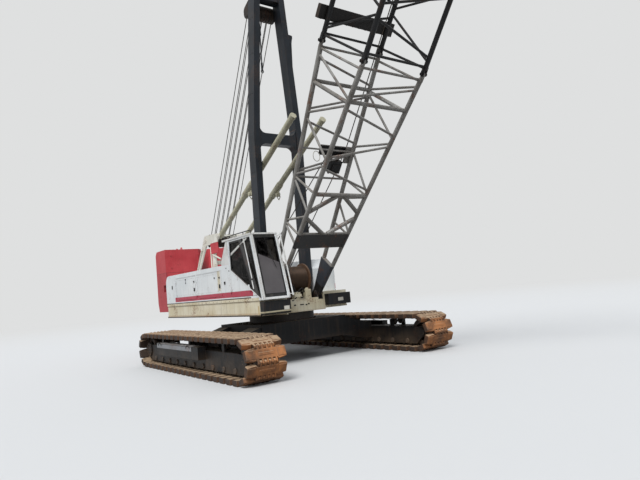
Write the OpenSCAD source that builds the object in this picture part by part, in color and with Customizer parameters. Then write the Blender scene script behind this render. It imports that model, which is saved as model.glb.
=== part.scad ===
// Lattice-boom crawler crane, full size, in millimetres.
// Built in its own machine frame: X towards the boom, Y to the left, Z up, swing axis at x = 0.
// machine() then moves it so that the origin lies under the middle of the whole machine.

/* [Tracks] */
// Overall length of a track
track_len = 6825; // [6000:5:7600]
// Overall height of a track
track_h = 930; // [860:5:1000]
// Width of a shoe
shoe_w = 880; // [700:10:960]
// Distance of each track's middle from the machine's middle
track_spread = 2400; // [2300:10:2600]
// Shoes on each track
shoe_count = 46; // [40:1:52]
// Depth of a shoe's block, from its roller path to its ground face
shoe_t = 120; // [100:5:130]
// Depth of the notch between two shoes
notch_t = 78; // [50:1:80]
// Width of the plain pad at each end of a shoe
pad_w = 200; // [150:5:230]
// Height of the drive lugs inside the track
lug_t = 45; // [35:5:50]
// Bottom rollers on each side
roller_count = 10; // [8:1:11]
// Radius of a bottom roller
roller_r = 120; // [100:5:125]
// Distance of the first bottom roller from the end wheel's shaft
roller_start = 480; // [470:5:600]

/* [Undercarriage] */
// Width of a side frame
frame_w = 430; // [380:10:460]
// Top of a side frame above the ground
frame_top = 600; // [560:5:620]
// Length of the carbody's centre box
carbody_len = 2300; // [2000:10:2500]
// Width of the carbody's centre box
carbody_w = 2500; // [2200:10:2700]
// Top of the carbody above the ground
carbody_top = 1000; // [980:5:1020]
// Rear end of the step box on each side frame, behind the swing axis
step_rear = 1740; // [1500:10:1900]
// Length of the step box
step_len = 2750; // [2400:10:2800]
// Outer radius of the swing bearing
bearing_r = 860; // [800:5:950]

/* [Deck] */
// Front of the deck under the cab, in front of the swing axis
deck_nose = 1560; // [1500:5:1600]
// Front of the rest of the deck, in front of the swing axis
mid_nose = 955; // [930:5:1000]
// Underside of the revolving deck above the ground
deck_bottom = 1200; // [1180:5:1230]
// Top of the deck's side beams above the ground
deck_top = 1660; // [1620:5:1690]
// Width of the revolving deck and of the house
house_w = 2990; // [2900:10:3100]
// Distance of the house's rear wall behind the swing axis
house_rear = 4635; // [4400:5:4800]
// Top of the house above the ground
house_top = 2557; // [2450:1:2700]
// Front of the left house, in front of the swing axis
left_front = 510; // [450:5:560]
// Size of the slope at the left house's upper front edge
left_slope = 260; // [200:10:300]
// Thickness of the house's walls and doors
wall_t = 40; // [25:1:50]
// Distance of the centre bay's walls from the middle
bay_half = 780; // [775:1:790]

/* [Cab] */
// Rear edge of the cab in front of the swing axis
cab_rear = 110; // [60:5:200]
// Top of the cab above the ground
cab_top = 3190; // [3100:5:3300]
// Foot of the windscreen in front of the swing axis
screen_foot = 1783; // [1700:1:1850]
// Head of the windscreen in front of the swing axis
screen_head = 1385; // [1300:1:1450]
// Height of the cab's floor sill above the ground
cab_sill = 1594; // [1580:1:1620]

/* [Boom] */
// Boom foot pin in front of the swing axis
boom_foot_x = 786; // [760:1:820]
// Boom foot pin above the ground
boom_foot_z = 1625; // [1610:1:1640]
// Boom angle above level
boom_angle = 52; // [45:1:60]
// Length of each boom section
section_len = 6100; // [5800:10:6400]
// Half the width between chord centres of the full section
chord_y = 800; // [760:5:820]
// Half the depth between chord centres of the full section
chord_z = 784; // [740:1:800]
// Radius of a chord tube
chord_r = 54; // [45:1:60]
// Radius of a lacing tube
lace_r = 27; // [20:1:32]
// Radius of a boom head sheave
sheave_r = 380; // [340:5:400]

/* [Mast] */
// Mast foot pin in front of the swing axis
mast_foot_x = 337; // [310:1:350]
// Mast foot pin above the ground
mast_foot_z = 1798; // [1780:1:1820]
// Mast angle above level
mast_angle = 88.4; // [86:0.1:90]
// Mast length between its pins
mast_len = 8300; // [8000:10:8600]
// Distance of the mast's cross member from its foot
cross_at = 4060; // [3900:10:4200]
// Depth of a mast leg
leg_d = 330; // [300:5:350]
// Thickness of a mast leg
leg_t = 180; // [160:5:200]

/* [Boom stops] */
// Boom stop's rear pin behind the swing axis
stop_back = 2530; // [2480:5:2580]
// Boom stop's rear pin above the ground
stop_z = 3600; // [3550:5:3650]
// Length of a boom stop
stop_len = 5150; // [4900:10:5200]
// Radius of a boom stop's tube
stop_r = 75; // [65:1:80]
// Boom stop angle above level
stop_angle = 27; // [25:0.5:29]
// Distance of each stop from the middle
stop_y = 440; // [420:1:445]

/* [Rear] */
// Rear end of the counterweight behind the swing axis
weight_rear = 5640; // [5500:10:5800]
// Width of the counterweight
weight_w = 2900; // [2600:10:3000]
// Top of the counterweight above the ground
weight_top = 3450; // [3300:10:3500]
// Joint between the lower and the upper counterweight above the ground
weight_joint = 2690; // [2600:10:2750]
// Front of the counterweight behind the swing axis
weight_front = 4695; // [4690:5:4750]
// Width of the gap between the two upper counterweights
weight_gap = 264; // [200:4:320]
// Underside of the counterweight above the ground
weight_low = 1420; // [1400:5:1450]

/* [Gantry] */
// Gantry sheave shaft behind the swing axis
gantry_back = 3440; // [3400:5:3480]
// Gantry sheave shaft above the ground
gantry_z = 3560; // [3500:5:3620]
// Radius of the boom hoist sheaves at the rope
block_r = 190; // [170:5:200]
// Boom hoist falls
fall_count = 10; // [6:2:10]
// Distance between two falls
fall_pitch = 80; // [76:1:82]
// Radius of a fall
fall_r = 11; // [8:0.5:13]

/* [Engine and drums] */
// Rear of the engine behind the swing axis
engine_rear = 4350; // [4200:10:4400]
// Length of the engine
engine_len = 1600; // [1400:10:1700]
// Width of the engine
engine_w = 1300; // [1100:10:1350]
// Top of the engine above the ground
engine_top = 2350; // [2200:10:2400]
// Radius of a hoist drum's flange
flange_r = 400; // [360:5:420]
// Height of the drum shafts above the ground
drum_z = 1930; // [1900:5:1960]

/* [Hidden] */
// Gap between pieces that turn on each other
run = 0.05;
// Gap between pieces that only rest against each other
seat_gap = 0.3;
// Gap round a door or a lid
door_gap = 6;

// Track path, worked from the pitch line of the shoes
track_r = track_h / 2;
pitch_r = track_r - shoe_t / 2;
run_len = track_len - track_h;
half_run = run_len / 2;
loop_len = 2 * run_len + 2 * PI * pitch_r;
shoe_pitch = loop_len / shoe_count;
path_r = (track_r - shoe_t) * cos(shoe_pitch / pitch_r * 90 / PI);

// Boom in its own frame: distance from the foot, half width, half depth
foot_y = 660;
foot_w = 110;
foot_plate_end = 1000;
lace_bite = 29;
lace_gap = 52;
face_gap = 132;
foot_depth = 95;
tip_len = 3 * section_len;
base_slope = (chord_z - foot_depth) / section_len;
head_y = 400;
head_z = 300;
pendant_y = 500;
tip_pin_s = tip_len - 480;
tip_pin_w = -300;
pendant_s = tip_len - 250;
pendant_w = 420;
jib_bore_r = 40;
hook_drop = 3000;
groove_r = sheave_r - 32;
hook_rope_r = 13;
hook_half = 130;

// Mast in its own frame: the sheave row sits behind the legs, near the head
head_leg_y = 360;
block_at = mast_len - 595;
rim_r = block_r + 18;
block_out = leg_d / 2 + rim_r + 10;

// Gantry and boom stops in the machine frame
gantry_x = -gantry_back;
gantry_y = 540;
stop_x = -stop_back;
fall_len = 4500;

// Where the origin lies: under the middle of the machine's box, boom tip to counterweight
tip_x = boom_foot_x + tip_len * cos(boom_angle);
tip_z = boom_foot_z + tip_len * sin(boom_angle);
hook_x = tip_x + groove_r + hook_rope_r + seat_gap;
x_max = hook_x + hook_half;
x_min = -weight_rear;
swing_x = -(x_max + x_min) / 2;

// Mast pins and sheave row in the machine frame
block_x = mast_foot_x + block_at * cos(mast_angle) - block_out * sin(mast_angle);
block_z = mast_foot_z + block_at * sin(mast_angle) + block_out * cos(mast_angle);
mast_tip_x = mast_foot_x + mast_len * cos(mast_angle);
mast_tip_z = mast_foot_z + mast_len * sin(mast_angle);
fall_angle = atan2(block_z - gantry_z, block_x - gantry_x);
pendant_x = boom_foot_x + pendant_s * cos(boom_angle) - pendant_w * sin(boom_angle);
pendant_z = boom_foot_z + pendant_s * sin(boom_angle) + pendant_w * cos(boom_angle);
pendant_len = norm([mast_tip_x - pendant_x, mast_tip_z - pendant_z]);
pendant_angle = atan2(mast_tip_z - pendant_z, mast_tip_x - pendant_x);

module machine() translate([swing_x, 0, 0]) children();
module boom_frame() machine() translate([boom_foot_x, 0, boom_foot_z]) rotate([0, -boom_angle, 0])
    children();
module mast_frame() machine() translate([mast_foot_x, 0, mast_foot_z]) rotate([0, -mast_angle, 0])
    children();
module left() mirror([0, 1, 0]) children();
module both_sides() {
    children();
    left() children();
}
// A round bar across the machine, centred on y
module cross_bar(r, y, len, sides = 40) translate([0, y - len / 2, 0]) rotate([-90, 0, 0])
    cylinder(h = len, r = r, $fn = sides);
// A straight bar between two points
module bar(p, q, r, sides = 8) {
    v = q - p;
    translate(p) rotate([0, acos(v[2] / norm(v)), atan2(v[1], v[0])])
        cylinder(h = norm(v), r = r, $fn = sides);
}
// A plate cut to an outline in X and Z, from y to y + t
module side_plate(pts, y, t) translate([0, y + t, 0]) rotate([90, 0, 0]) linear_extrude(t)
    polygon(pts);
// A plate cut to an outline in Y and Z, from x to x + t
module cross_plate(pts, x, t) translate([x, 0, 0]) rotate([90, 0, 90]) linear_extrude(t)
    polygon(pts);
// A block from its low corner to its high corner
module block(a, b) translate(a) cube(b - a);
function arc_at(c, r, a, b, n) = [for (i = [0 : n]) let (t = a + (b - a) * i / n)
    c + r * [cos(t), sin(t)]];
// An outline moved inwards by d; its points run anticlockwise
function inset(pts, d) = let (n = len(pts)) [for (i = [0 : n - 1])
    let (b = pts[i], to = b - pts[(i + n - 1) % n], on = pts[(i + 1) % n] - b,
        u = to / norm(to), v = on / norm(on))
    b + d * (v - u) / cross(u, v)];

// Track: a point of the closed loop, at length u along it and out from the pitch line
function loop_point(u, out) =
    let (turn = PI * pitch_r, r = pitch_r + out)
    u < run_len ? [-half_run + u, r]
    : u < run_len + turn
    ? let (a = 90 - (u - run_len) / turn * 180) [half_run + r * cos(a), r * sin(a)]
    : u < 2 * run_len + turn ? [half_run - (u - run_len - turn), -r]
    : let (a = -90 - (u - 2 * run_len - turn) / turn * 180) [-half_run + r * cos(a), r * sin(a)];
// Side outlines of one shoe as pairs: share of the pitch, distance out from the pitch line
pad_steps = [[0.12, shoe_t / 2 - notch_t], [0.17, shoe_t / 2], [0.83, shoe_t / 2],
    [0.88, shoe_t / 2 - notch_t]];
body_steps = [[0.02, shoe_t / 2 - notch_t], [0.07, shoe_t / 2 - 10],
    [0.93, shoe_t / 2 - 10], [0.98, shoe_t / 2 - notch_t]];
lug_steps = [[0.25, -shoe_t / 2], [0.36, -shoe_t / 2 - lug_t], [0.64, -shoe_t / 2 - lug_t],
    [0.75, -shoe_t / 2]];
lug_w = 120;
function loop_outline(steps) = [for (i = [0 : shoe_count - 1], s = steps)
    loop_point((i + s[0]) * shoe_pitch, s[1])];

// Shoes: a plain pad at each end, a knuckled body between them and a drive lug inside
module track(y) machine() translate([0, y, track_r]) {
    difference() {
        union() {
            for (low = [-shoe_w / 2, shoe_w / 2 - pad_w])
                side_plate(loop_outline(pad_steps), low, pad_w);
            side_plate(loop_outline(body_steps), -shoe_w / 2 + pad_w, shoe_w - 2 * pad_w);
        }
        side_plate(loop_outline([[0, -shoe_t / 2]]), -shoe_w / 2 - 1, shoe_w + 2);
    }
    difference() {
        side_plate(loop_outline([[0, -shoe_t / 2 + 20]]), -lug_w / 2, lug_w);
        side_plate(loop_outline(lug_steps), -lug_w / 2 - 1, lug_w + 2);
    }
}
module track_right() color("#8a5a38") track(-track_spread);
module track_left() color("#8a5a38") track(track_spread);

// Wheel at a track's end: two rims with a groove between them for the drive lugs, and a dished web
lug_groove_r = path_r - lug_t - 15;
module end_wheel() rotate([-90, 0, 0]) rotate_extrude($fn = 48) polygon([
    [60, -210], [140, -210], [140, -50], [lug_groove_r - 45, -50], [lug_groove_r - 45, -190],
    [path_r - seat_gap, -190], [path_r - seat_gap, -90], [lug_groove_r, -80],
    [lug_groove_r, 80], [path_r - seat_gap, 90], [path_r - seat_gap, 190],
    [lug_groove_r - 45, 190], [lug_groove_r - 45, 50], [140, 50], [140, 210], [60, 210]]);
module wheels_at(x) machine() for (side = [-1, 1])
    translate([x, side * track_spread, track_r]) children();
module sprockets() color("#3a3634") wheels_at(-half_run) end_wheel();
module idlers() color("#3a3634") wheels_at(half_run) difference() {
    end_wheel();
    for (a = [0 : 60 : 300]) rotate([0, a, 0]) translate([188, 0, 0]) cross_bar(30, 0, 200, 24);
}

module roller(r) rotate([-90, 0, 0]) rotate_extrude($fn = 32) polygon([
    [30, -175], [r, -175], [r, -85], [r - lug_t - 10, -75], [r - lug_t - 10, 75], [r, 85],
    [r, 175], [30, 175]]);
roller_pitch = (run_len - 2 * roller_start) / (roller_count - 1);
roller_x = [for (i = [0 : roller_count - 1]) -half_run + roller_start + i * roller_pitch];
axle_z = shoe_t + roller_r + seat_gap;
module bottom_rollers() color("#3a3634") machine() for (side = [-1, 1], x = roller_x)
    translate([x, side * track_spread, axle_z]) roller(roller_r);
carrier_r = 90;
carrier_z = track_h - shoe_t - carrier_r - seat_gap;
carrier_x = [-1900, 0, 1900];
module carrier_rollers() color("#3a3634") machine() for (side = [-1, 1], x = carrier_x)
    translate([x, side * track_spread, carrier_z]) roller(carrier_r);

// Side frame of the right track: box girder, hanging side plates, shafts, gear case and step box
frame_plate = 30;
frame_out = frame_w / 2 + frame_plate;
frame_outline = concat(
    [[-half_run + 160, axle_z - 70], [half_run - 160, axle_z - 70]],
    arc_at([half_run, track_r], 120, -60, 70, 6),
    [[half_run - 440, frame_top], [-half_run + 440, frame_top]],
    arc_at([-half_run, track_r], 120, 110, 240, 6));
step_low = 400;
step_top = 690;
module side_frame() {
    block([-half_run + 420, -frame_w / 2 - 5, 2 * roller_r + shoe_t + 20],
        [half_run - 420, frame_w / 2 + 5, frame_top]);
    for (y = [-frame_out, frame_w / 2]) side_plate(frame_outline, y, frame_plate);
    for (x = [-half_run, half_run]) translate([x, 0, track_r]) {
        cross_bar(60 - run, 0, frame_w + 20);
        translate([0, -frame_out, 0]) cross_bar(105, 0, 70);
    }
    translate([-half_run, -frame_out, track_r]) cross_bar(190, 0, 60);
    translate([-half_run, frame_out + 80, track_r]) cross_bar(165, 0, 170);
    for (x = roller_x) translate([x, 0, axle_z]) cross_bar(30 - run, 0, frame_w + 10, 24);
    for (x = carrier_x) {
        for (y = [-205, 205]) block([x - 60, y - 20, frame_top - 5], [x + 60, y + 20, 780]);
        translate([x, 0, carrier_z]) cross_bar(30 - run, 0, 400, 24);
    }
    block([-step_rear, -shoe_w / 2 + 8, step_low], [-step_rear + step_len, -frame_out + 3, step_top - 12]);
    block([-step_rear - 8, -shoe_w / 2, step_top - 12], [-step_rear + step_len + 8, -frame_out, step_top]);
}
module side_frames() color("#1d1e20") machine() both_sides() translate([0, -track_spread, 0])
    side_frame();

// Carbody: centre box and two cross beams that reach the side frames between the track's runs
beam_end = track_spread - frame_out - seat_gap;
beam_step = track_spread - shoe_w / 2 - 10;
beam_low = 300;
beam_x = 850;
beam_half = 260;
module carbody() color("#17181a") machine() difference() {
    union() {
        block([-carbody_len / 2, -carbody_w / 2, 480],
            [carbody_len / 2, carbody_w / 2, carbody_top]);
        for (x = [-beam_x, beam_x]) cross_plate([[-beam_end, beam_low], [-beam_step, beam_low],
            [-carbody_w / 2, 480], [carbody_w / 2, 480], [beam_step, beam_low], [beam_end, beam_low],
            [beam_end, 740], [beam_step, 740], [carbody_w / 2 + 50, 940],
            [-carbody_w / 2 - 50, 940], [-beam_step, 740], [-beam_end, 740]],
            x - beam_half, 2 * beam_half);
    }
    translate([0, 0, 400]) cylinder(h = 700, r = 400, $fn = 64);
}

bearing_gap = 5;
inner_r = bearing_r - 140;
module swing_bearing() color("#2b2724") machine() translate([0, 0, carbody_top]) difference() {
    cylinder(h = deck_bottom - carbody_top - bearing_gap, r = bearing_r, $fn = 96);
    translate([0, 0, -1]) cylinder(h = 300, r = inner_r + run, $fn = 96);
}
module swing_ring() color("#2b2724") machine() translate([0, 0, carbody_top + bearing_gap])
    difference() {
        cylinder(h = deck_bottom - carbody_top - bearing_gap, r = inner_r, $fn = 96);
        translate([0, 0, -1]) cylinder(h = 300, r = inner_r - 120, $fn = 96);
    }

// Deck: centre weldment with a plate across its nose, and a channel along each side with its ribs
deck_mid = 1470;
beam_bottom = deck_bottom + 30;
rib_x = [-4000, -3100, -2200, -1300, -400, 500, 1250];
side_w = house_w / 2;
bracket_t = 20;
bracket_in = foot_y - foot_w / 2 - 5;
bracket_out = bay_half - 40 - seat_gap;
nose_half = bracket_in - bracket_t - seat_gap;
module side_beam(nose) {
    cross_plate([[-side_w, deck_top], [-side_w, deck_top - 70], [-side_w + 20, deck_top - 70],
        [-side_w + 20, beam_bottom + 50], [-side_w, beam_bottom + 50], [-side_w, beam_bottom],
        [-side_w + 140, beam_bottom], [-side_w + 140, beam_bottom + 50],
        [-side_w + 60, beam_bottom + 50], [-side_w + 60, deck_top - 70],
        [-bay_half + 40, deck_top - 70], [-bay_half + 40, deck_top]], -house_rear,
        nose + house_rear);
    block([-house_rear, -bay_half, deck_bottom], [nose, -bay_half + 40, deck_top]);
    block([nose - 30, -side_w + 20, beam_bottom], [nose, -bay_half, deck_top - 40]);
    for (x = rib_x) if (x < nose - 100)
        block([x - 15, -side_w + 40, beam_bottom + 20], [x + 15, -bay_half + 10, deck_top - 40]);
}
module deck() color("#c9c0a4") machine() difference() {
    union() {
        block([-house_rear, -bay_half, deck_bottom], [mid_nose, bay_half, deck_mid]);
        block([mid_nose - 30, -nose_half, deck_bottom], [mid_nose, nose_half, deck_mid + 60]);
        side_beam(deck_nose);
        left() side_beam(mid_nose);
        both_sides() side_plate([[-house_rear + 1, deck_bottom + 50], [-house_rear + 1, weight_low - seat_gap],
            [-weight_rear + 290, weight_low - seat_gap], [-weight_rear + 290, weight_low - 90]],
            -700, 200);
    }
    translate([0, 0, deck_bottom - 10]) cylinder(h = 500, r = 380, $fn = 64);
    block([mid_nose - 15, -90, deck_mid + 5], [mid_nose + 1, 220, deck_mid + 45]);
}
// Foot brackets on the deck as [pin x, pin z, rear reach, front reach, radius of the round top, pin radius]
bracket_table = [[boom_foot_x, boom_foot_z, 180, 160, 95, 50], [mast_foot_x, mast_foot_z, 240, 180, 100, 45]];
module foot_brackets() color("#1d1e20") machine() both_sides() for (b = bracket_table) {
    outline = concat([[b[0] - b[2], deck_mid + seat_gap], [b[0] + b[3], deck_mid + seat_gap]],
        arc_at([b[0], b[1]], b[4], 10, 170, 8));
    outer = foot_y + foot_w / 2 + 5;
    side_plate(outline, -bracket_in, bracket_t);
    side_plate(outline, -bracket_out, bracket_out - outer);
    translate([b[0], 0, b[1]]) cross_bar(b[5] - run, -(bracket_out + bracket_in - bracket_t) / 2,
        bracket_out - bracket_in + bracket_t - 4);
}
module front_box() color("#17181a") machine() {
    block([deck_nose + seat_gap, -side_w + 15, 1250], [deck_nose + 180, -bay_half + 20, 1560]);
    block([mid_nose + seat_gap, bay_half, 1300], [mid_nose + 180, side_w, 1590]);
}

// House: one skin bent over the rear top corner, two side panels and the walls of the centre bay
corner_r = 260;
house_low = deck_top + seat_gap;
rear_roof_front = -2300;
skin_y = side_w - wall_t - seat_gap;
slope_shift = wall_t * tan(22.5);
function roof_line(off) = arc_at([-house_rear + corner_r, house_top - corner_r],
    corner_r - off, 180, 90, 8);
module house_roof() color("#e4e6e8") machine() {
    skin = concat([[-house_rear, house_low]], roof_line(0), [[rear_roof_front, house_top],
        [rear_roof_front, house_top - wall_t]],
        [for (i = [8 : -1 : 0]) roof_line(wall_t)[i]], [[-house_rear + wall_t, house_low]]);
    side_plate(skin, -skin_y, 2 * skin_y);
    block([rear_roof_front - 10, -skin_y, house_top - wall_t],
        [cab_rear - seat_gap, -bay_half - wall_t - seat_gap, house_top]);
    block([rear_roof_front - 10, bay_half + wall_t + seat_gap, house_top - wall_t],
        [left_front - left_slope - slope_shift - seat_gap, skin_y, house_top]);
}

// Doors of a house side as [rear edge, front edge], and their hinges
door_openings = [[-3750, -2150], [-2050, -400]];
door_low = deck_top + 90;
door_high = house_top - 120;
hinge_out = 13;
knuckle_r = 12;
hinge_pin_r = 6;
knuckle_len = 50;
strap_len = 50;
strap_t = 6;
hinge_in = 3;
house_hinges = [door_low + 120, door_high - 170];
cab_hinges = [deck_top + 200, cab_top - 400];
module door_knuckle(x, z) difference() {
    union() {
        translate([x, -side_w - hinge_out, z]) cylinder(h = knuckle_len, r = knuckle_r, $fn = 32);
        block([x, -side_w - strap_t, z], [x + strap_len, -side_w + 1, z + knuckle_len]);
    }
    translate([x, -side_w - hinge_out, z - 1])
        cylinder(h = knuckle_len + 2, r = hinge_pin_r + run, $fn = 32);
}
// The fixed half of a hinge: a knuckle with its strap below and above the door's, and the pin
module panel_knuckles(x, z) {
    h = knuckle_len - 5;
    for (low = [z - seat_gap - h, z + knuckle_len + seat_gap]) {
        translate([x, -side_w - hinge_out, low]) cylinder(h = h, r = knuckle_r, $fn = 32);
        block([x - strap_len, -side_w - strap_t, low], [x, -side_w + 1, low + h]);
    }
    translate([x, -side_w - hinge_out, z - h]) cylinder(h = knuckle_len + 2 * h, r = hinge_pin_r, $fn = 32);
}
module house_side(nose) machine() {
    difference() {
        side_plate(concat([[-house_rear, house_low]], roof_line(0), nose), -side_w, wall_t);
        for (o = door_openings) block([o[0], -side_w - 1, door_low], [o[1], -side_w + wall_t + 1, door_high]);
    }
    for (o = door_openings, z = house_hinges) panel_knuckles(o[0] + hinge_in, z);
}
right_nose = [[cab_rear - seat_gap, house_top], [cab_rear - seat_gap, house_low]];
left_nose = [[left_front - left_slope, house_top], [left_front, house_top - left_slope],
    [left_front, house_low]];
module house_right_side() color("#e4e6e8") house_side(right_nose);
module house_left_side() color("#e4e6e8") left() house_side(left_nose);
module bay_walls() color("#d6d8d8") machine() {
    back = rear_roof_front + seat_gap;
    block([back, -bay_half - wall_t, house_low], [cab_rear - seat_gap, -bay_half, house_top]);
    side_plate(concat([[back, house_top], [back, house_low]],
        [for (i = [2 : -1 : 0]) left_nose[i]]), bay_half, wall_t);
    block([back, -bay_half - 10, house_low], [back + wall_t, bay_half + 10, house_top]);
    inner = left_front - wall_t;
    side_plate([[inner, house_low], left_nose[2], left_nose[1], left_nose[0],
        [left_nose[0][0] - slope_shift, house_top], [left_nose[0][0] - slope_shift, house_top - wall_t],
        [inner, house_top - left_slope - slope_shift]], bay_half + wall_t - 10, skin_y - bay_half - wall_t + 10);
}
// A door leaf of the right side with its two knuckles and a round latch
module door_leaf(o) machine() {
    block([o[0] + door_gap, -side_w, door_low + door_gap],
        [o[1] - door_gap, -side_w + wall_t, door_high - door_gap]);
    for (z = house_hinges) door_knuckle(o[0] + hinge_in, z);
    translate([o[1] - 110, -side_w, (door_low + door_high) / 2 - 60]) cross_bar(32, 0, 24, 24);
}
module right_rear_door() color("#e4e6e8") door_leaf(door_openings[0]);
module right_front_door() color("#e4e6e8") door_leaf(door_openings[1]);
module left_rear_door() color("#e4e6e8") left() door_leaf(door_openings[0]);
module left_front_door() color("#e4e6e8") left() door_leaf(door_openings[1]);

module engine() color("#4a4a48") machine() block([-engine_rear, -engine_w / 2, deck_mid + seat_gap],
    [-engine_rear + engine_len, engine_w / 2, engine_top]);

// Counterweight: one low slab on the deck's two arms, and two cast halves on it
weight_round = 120;
module counterweight_lower() color("#8e2a30") machine() difference() {
    side_plate([[-weight_rear + 90, weight_low], [-weight_front, weight_low],
        [-weight_front, weight_joint], [-weight_rear, weight_joint],
        [-weight_rear, weight_low + 280]], -weight_w / 2, weight_w);
    both_sides() block([-weight_front - 300, -weight_w / 2 - 1, weight_low + 650],
        [-weight_front + 1, -weight_w / 2 + 120, weight_low + 870]);
}
module counterweight_upper() color("#8e2a30") machine() both_sides() intersection() {
    side_plate([[-weight_rear, weight_joint + seat_gap], [-weight_front, weight_joint + seat_gap],
        [-weight_front, weight_top], [-weight_rear + weight_round, weight_top],
        [-weight_rear, weight_top - weight_round]], -weight_w / 2, weight_w);
    linear_extrude(weight_top + 1) polygon([[-weight_rear - 1, -weight_w / 2],
        [-weight_front + 1, -weight_w / 2], [-weight_front + 1, -weight_gap / 2 - 162],
        [-weight_front - 162, -weight_gap / 2], [-weight_rear - 1, -weight_gap / 2]]);
}

// Gantry on the house roof: two side frames of plate, joined by shafts and cross members
gantry_foot = house_top + seat_gap;
front_leg = [-3000, -2760];
module gantry_side() {
    side_plate(concat([[-4330, gantry_foot], [-4180, gantry_foot], [gantry_x + 20, gantry_z - 150],
        [front_leg[0], gantry_z - 150], [front_leg[0], gantry_foot], [front_leg[1], gantry_foot],
        [front_leg[1], gantry_z - 130]], arc_at([stop_x, stop_z], 95, -60, 80, 6),
        arc_at([gantry_x, gantry_z], 170, 80, 150, 5)), -gantry_y, 40);
    for (x = [[-4400, -4110], [front_leg[0] - 70, front_leg[1] + 70]])
        block([x[0], -gantry_y - 50, gantry_foot], [x[1], -gantry_y + 90, gantry_foot + 20]);
}
module gantry() color("#d8d8d2") machine() {
    both_sides() gantry_side();
    translate([gantry_x, 0, gantry_z]) cross_bar(60 - run, 0, 2 * gantry_y - 40, 40);
    translate([stop_x, 0, stop_z]) cross_bar(45 - run, 0, 2 * gantry_y - 40, 32);
    block([front_leg[0] + 60, -gantry_y + 20, house_top + 200], [front_leg[1] - 60, gantry_y - 20, house_top + 320]);
    block([-4300, -gantry_y + 20, gantry_foot], [-4210, gantry_y - 20, gantry_foot + 110]);
}
// A row of grooved sheaves on one shaft; each groove takes two ropes that pass each other
groove_half = 27;
module sheave_row() rotate([-90, 0, 0]) rotate_extrude($fn = 48) polygon(concat(
    [[60 + run, -fall_count * fall_pitch / 2]],
    [for (i = [0 : fall_count - 1]) let (y = (i - (fall_count - 1) / 2) * fall_pitch)
        each [[rim_r, y - fall_pitch / 2], [rim_r, y - fall_pitch / 2 + 6], [block_r, y - groove_half],
            [block_r, y + groove_half], [rim_r, y + fall_pitch / 2 - 6]]],
    [[rim_r, fall_count * fall_pitch / 2], [60 + run, fall_count * fall_pitch / 2]]));
module gantry_sheaves() color("#3a3634") machine() translate([gantry_x, 0, gantry_z]) sheave_row();
// Boom hoist falls: each rope leaves its sheave on the upper or the lower side in turn
fall_side = block_r + fall_r + seat_gap;
module falls(start, shift) rotate([0, -fall_angle, 0]) for (i = [0 : fall_count - 1])
    translate([start, (i - (fall_count - 1) / 2) * fall_pitch + shift, (i % 2 * 2 - 1) * fall_side])
        rotate([0, 90, 0]) cylinder(h = fall_len, r = fall_r, $fn = 8);
module falls_lower() color("#55504a") machine() translate([gantry_x, 0, gantry_z])
    falls(0, -fall_r - 3);
module falls_upper() color("#55504a") machine() translate([block_x, 0, block_z])
    falls(-fall_len, fall_r + 3);

// Hoist drums as [distance in front of the swing axis, shaft height, half width over the flanges]
drum_table = [[-1500, drum_z, 540], [-550, drum_z, 540], [480, drum_z + 120, 460]];
rope_r = 320;
module drum(x, z, half) translate([x, 0, z]) {
    rotate([-90, 0, 0]) rotate_extrude($fn = 64) polygon([
        [0, -half - 40], [50, -half - 40], [50, -half], [flange_r, -half], [flange_r, -half + 40],
        [rope_r, -half + 40], [rope_r, half - 40], [flange_r, half - 40], [flange_r, half],
        [50, half], [50, half + 40], [0, half + 40]]);
    foot = deck_mid - z + seat_gap;
    both_sides() side_plate(concat([[-260, foot], [260, foot]], arc_at([0, 0], 110, 20, 160, 8)),
        -half - 50, 40);
}
module hoist_drums() color("#5a4334") machine() for (d = drum_table) drum(d[0], d[1], d[2]);

// Cab: hollow shell with a raked front, split where the door and the panes sit
cab_profile = [[cab_rear, deck_top + seat_gap], [deck_nose + seat_gap, deck_top + seat_gap],
    [deck_nose + seat_gap, cab_sill], [screen_foot, cab_sill], [screen_head, cab_top], [cab_rear, cab_top]];
cab_y = -side_w;
cab_w = side_w - bay_half;
cab_in = cab_y + cab_w;
cab_wall = 40;
function screen_x(z) = screen_foot + (screen_head - screen_foot) * (z - cab_sill) / (cab_top - cab_sill);
// A slab that follows the raked front, between two depths behind it and two heights
module screen_slab(deep, shallow, low, high, y0, y1) side_plate([[screen_x(low) - deep, low],
    [screen_x(low) - shallow, low], [screen_x(high) - shallow, high], [screen_x(high) - deep, high]],
    y0, y1 - y0);
screen_low = cab_sill + 120;
screen_high = cab_top - 100;
screen_y = [cab_y + 70, cab_in - 70];
door_outline = [[cab_rear + 50, deck_top + 50], [1500, deck_top + 50], [760, cab_top - 50],
    [cab_rear + 50, cab_top - 50]];
door_window = [[cab_rear + 110, 2400], [1330, 1820], [740, cab_top - 110],
    [cab_rear + 110, cab_top - 110]];
quarter = [[1585, deck_top + 40], [1655, cab_sill + 56], [screen_foot - 95, cab_sill + 56],
    [screen_head - 60, cab_top - 80], [870, cab_top - 80]];
inner_window = [[cab_rear + 400, 2300], [1500, 1800], [1250, cab_top - 120],
    [cab_rear + 400, cab_top - 120]];
rear_window_z = [house_top + 90, cab_top - 90];
rear_window_y = [cab_y + 90, cab_in - 90];
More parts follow.
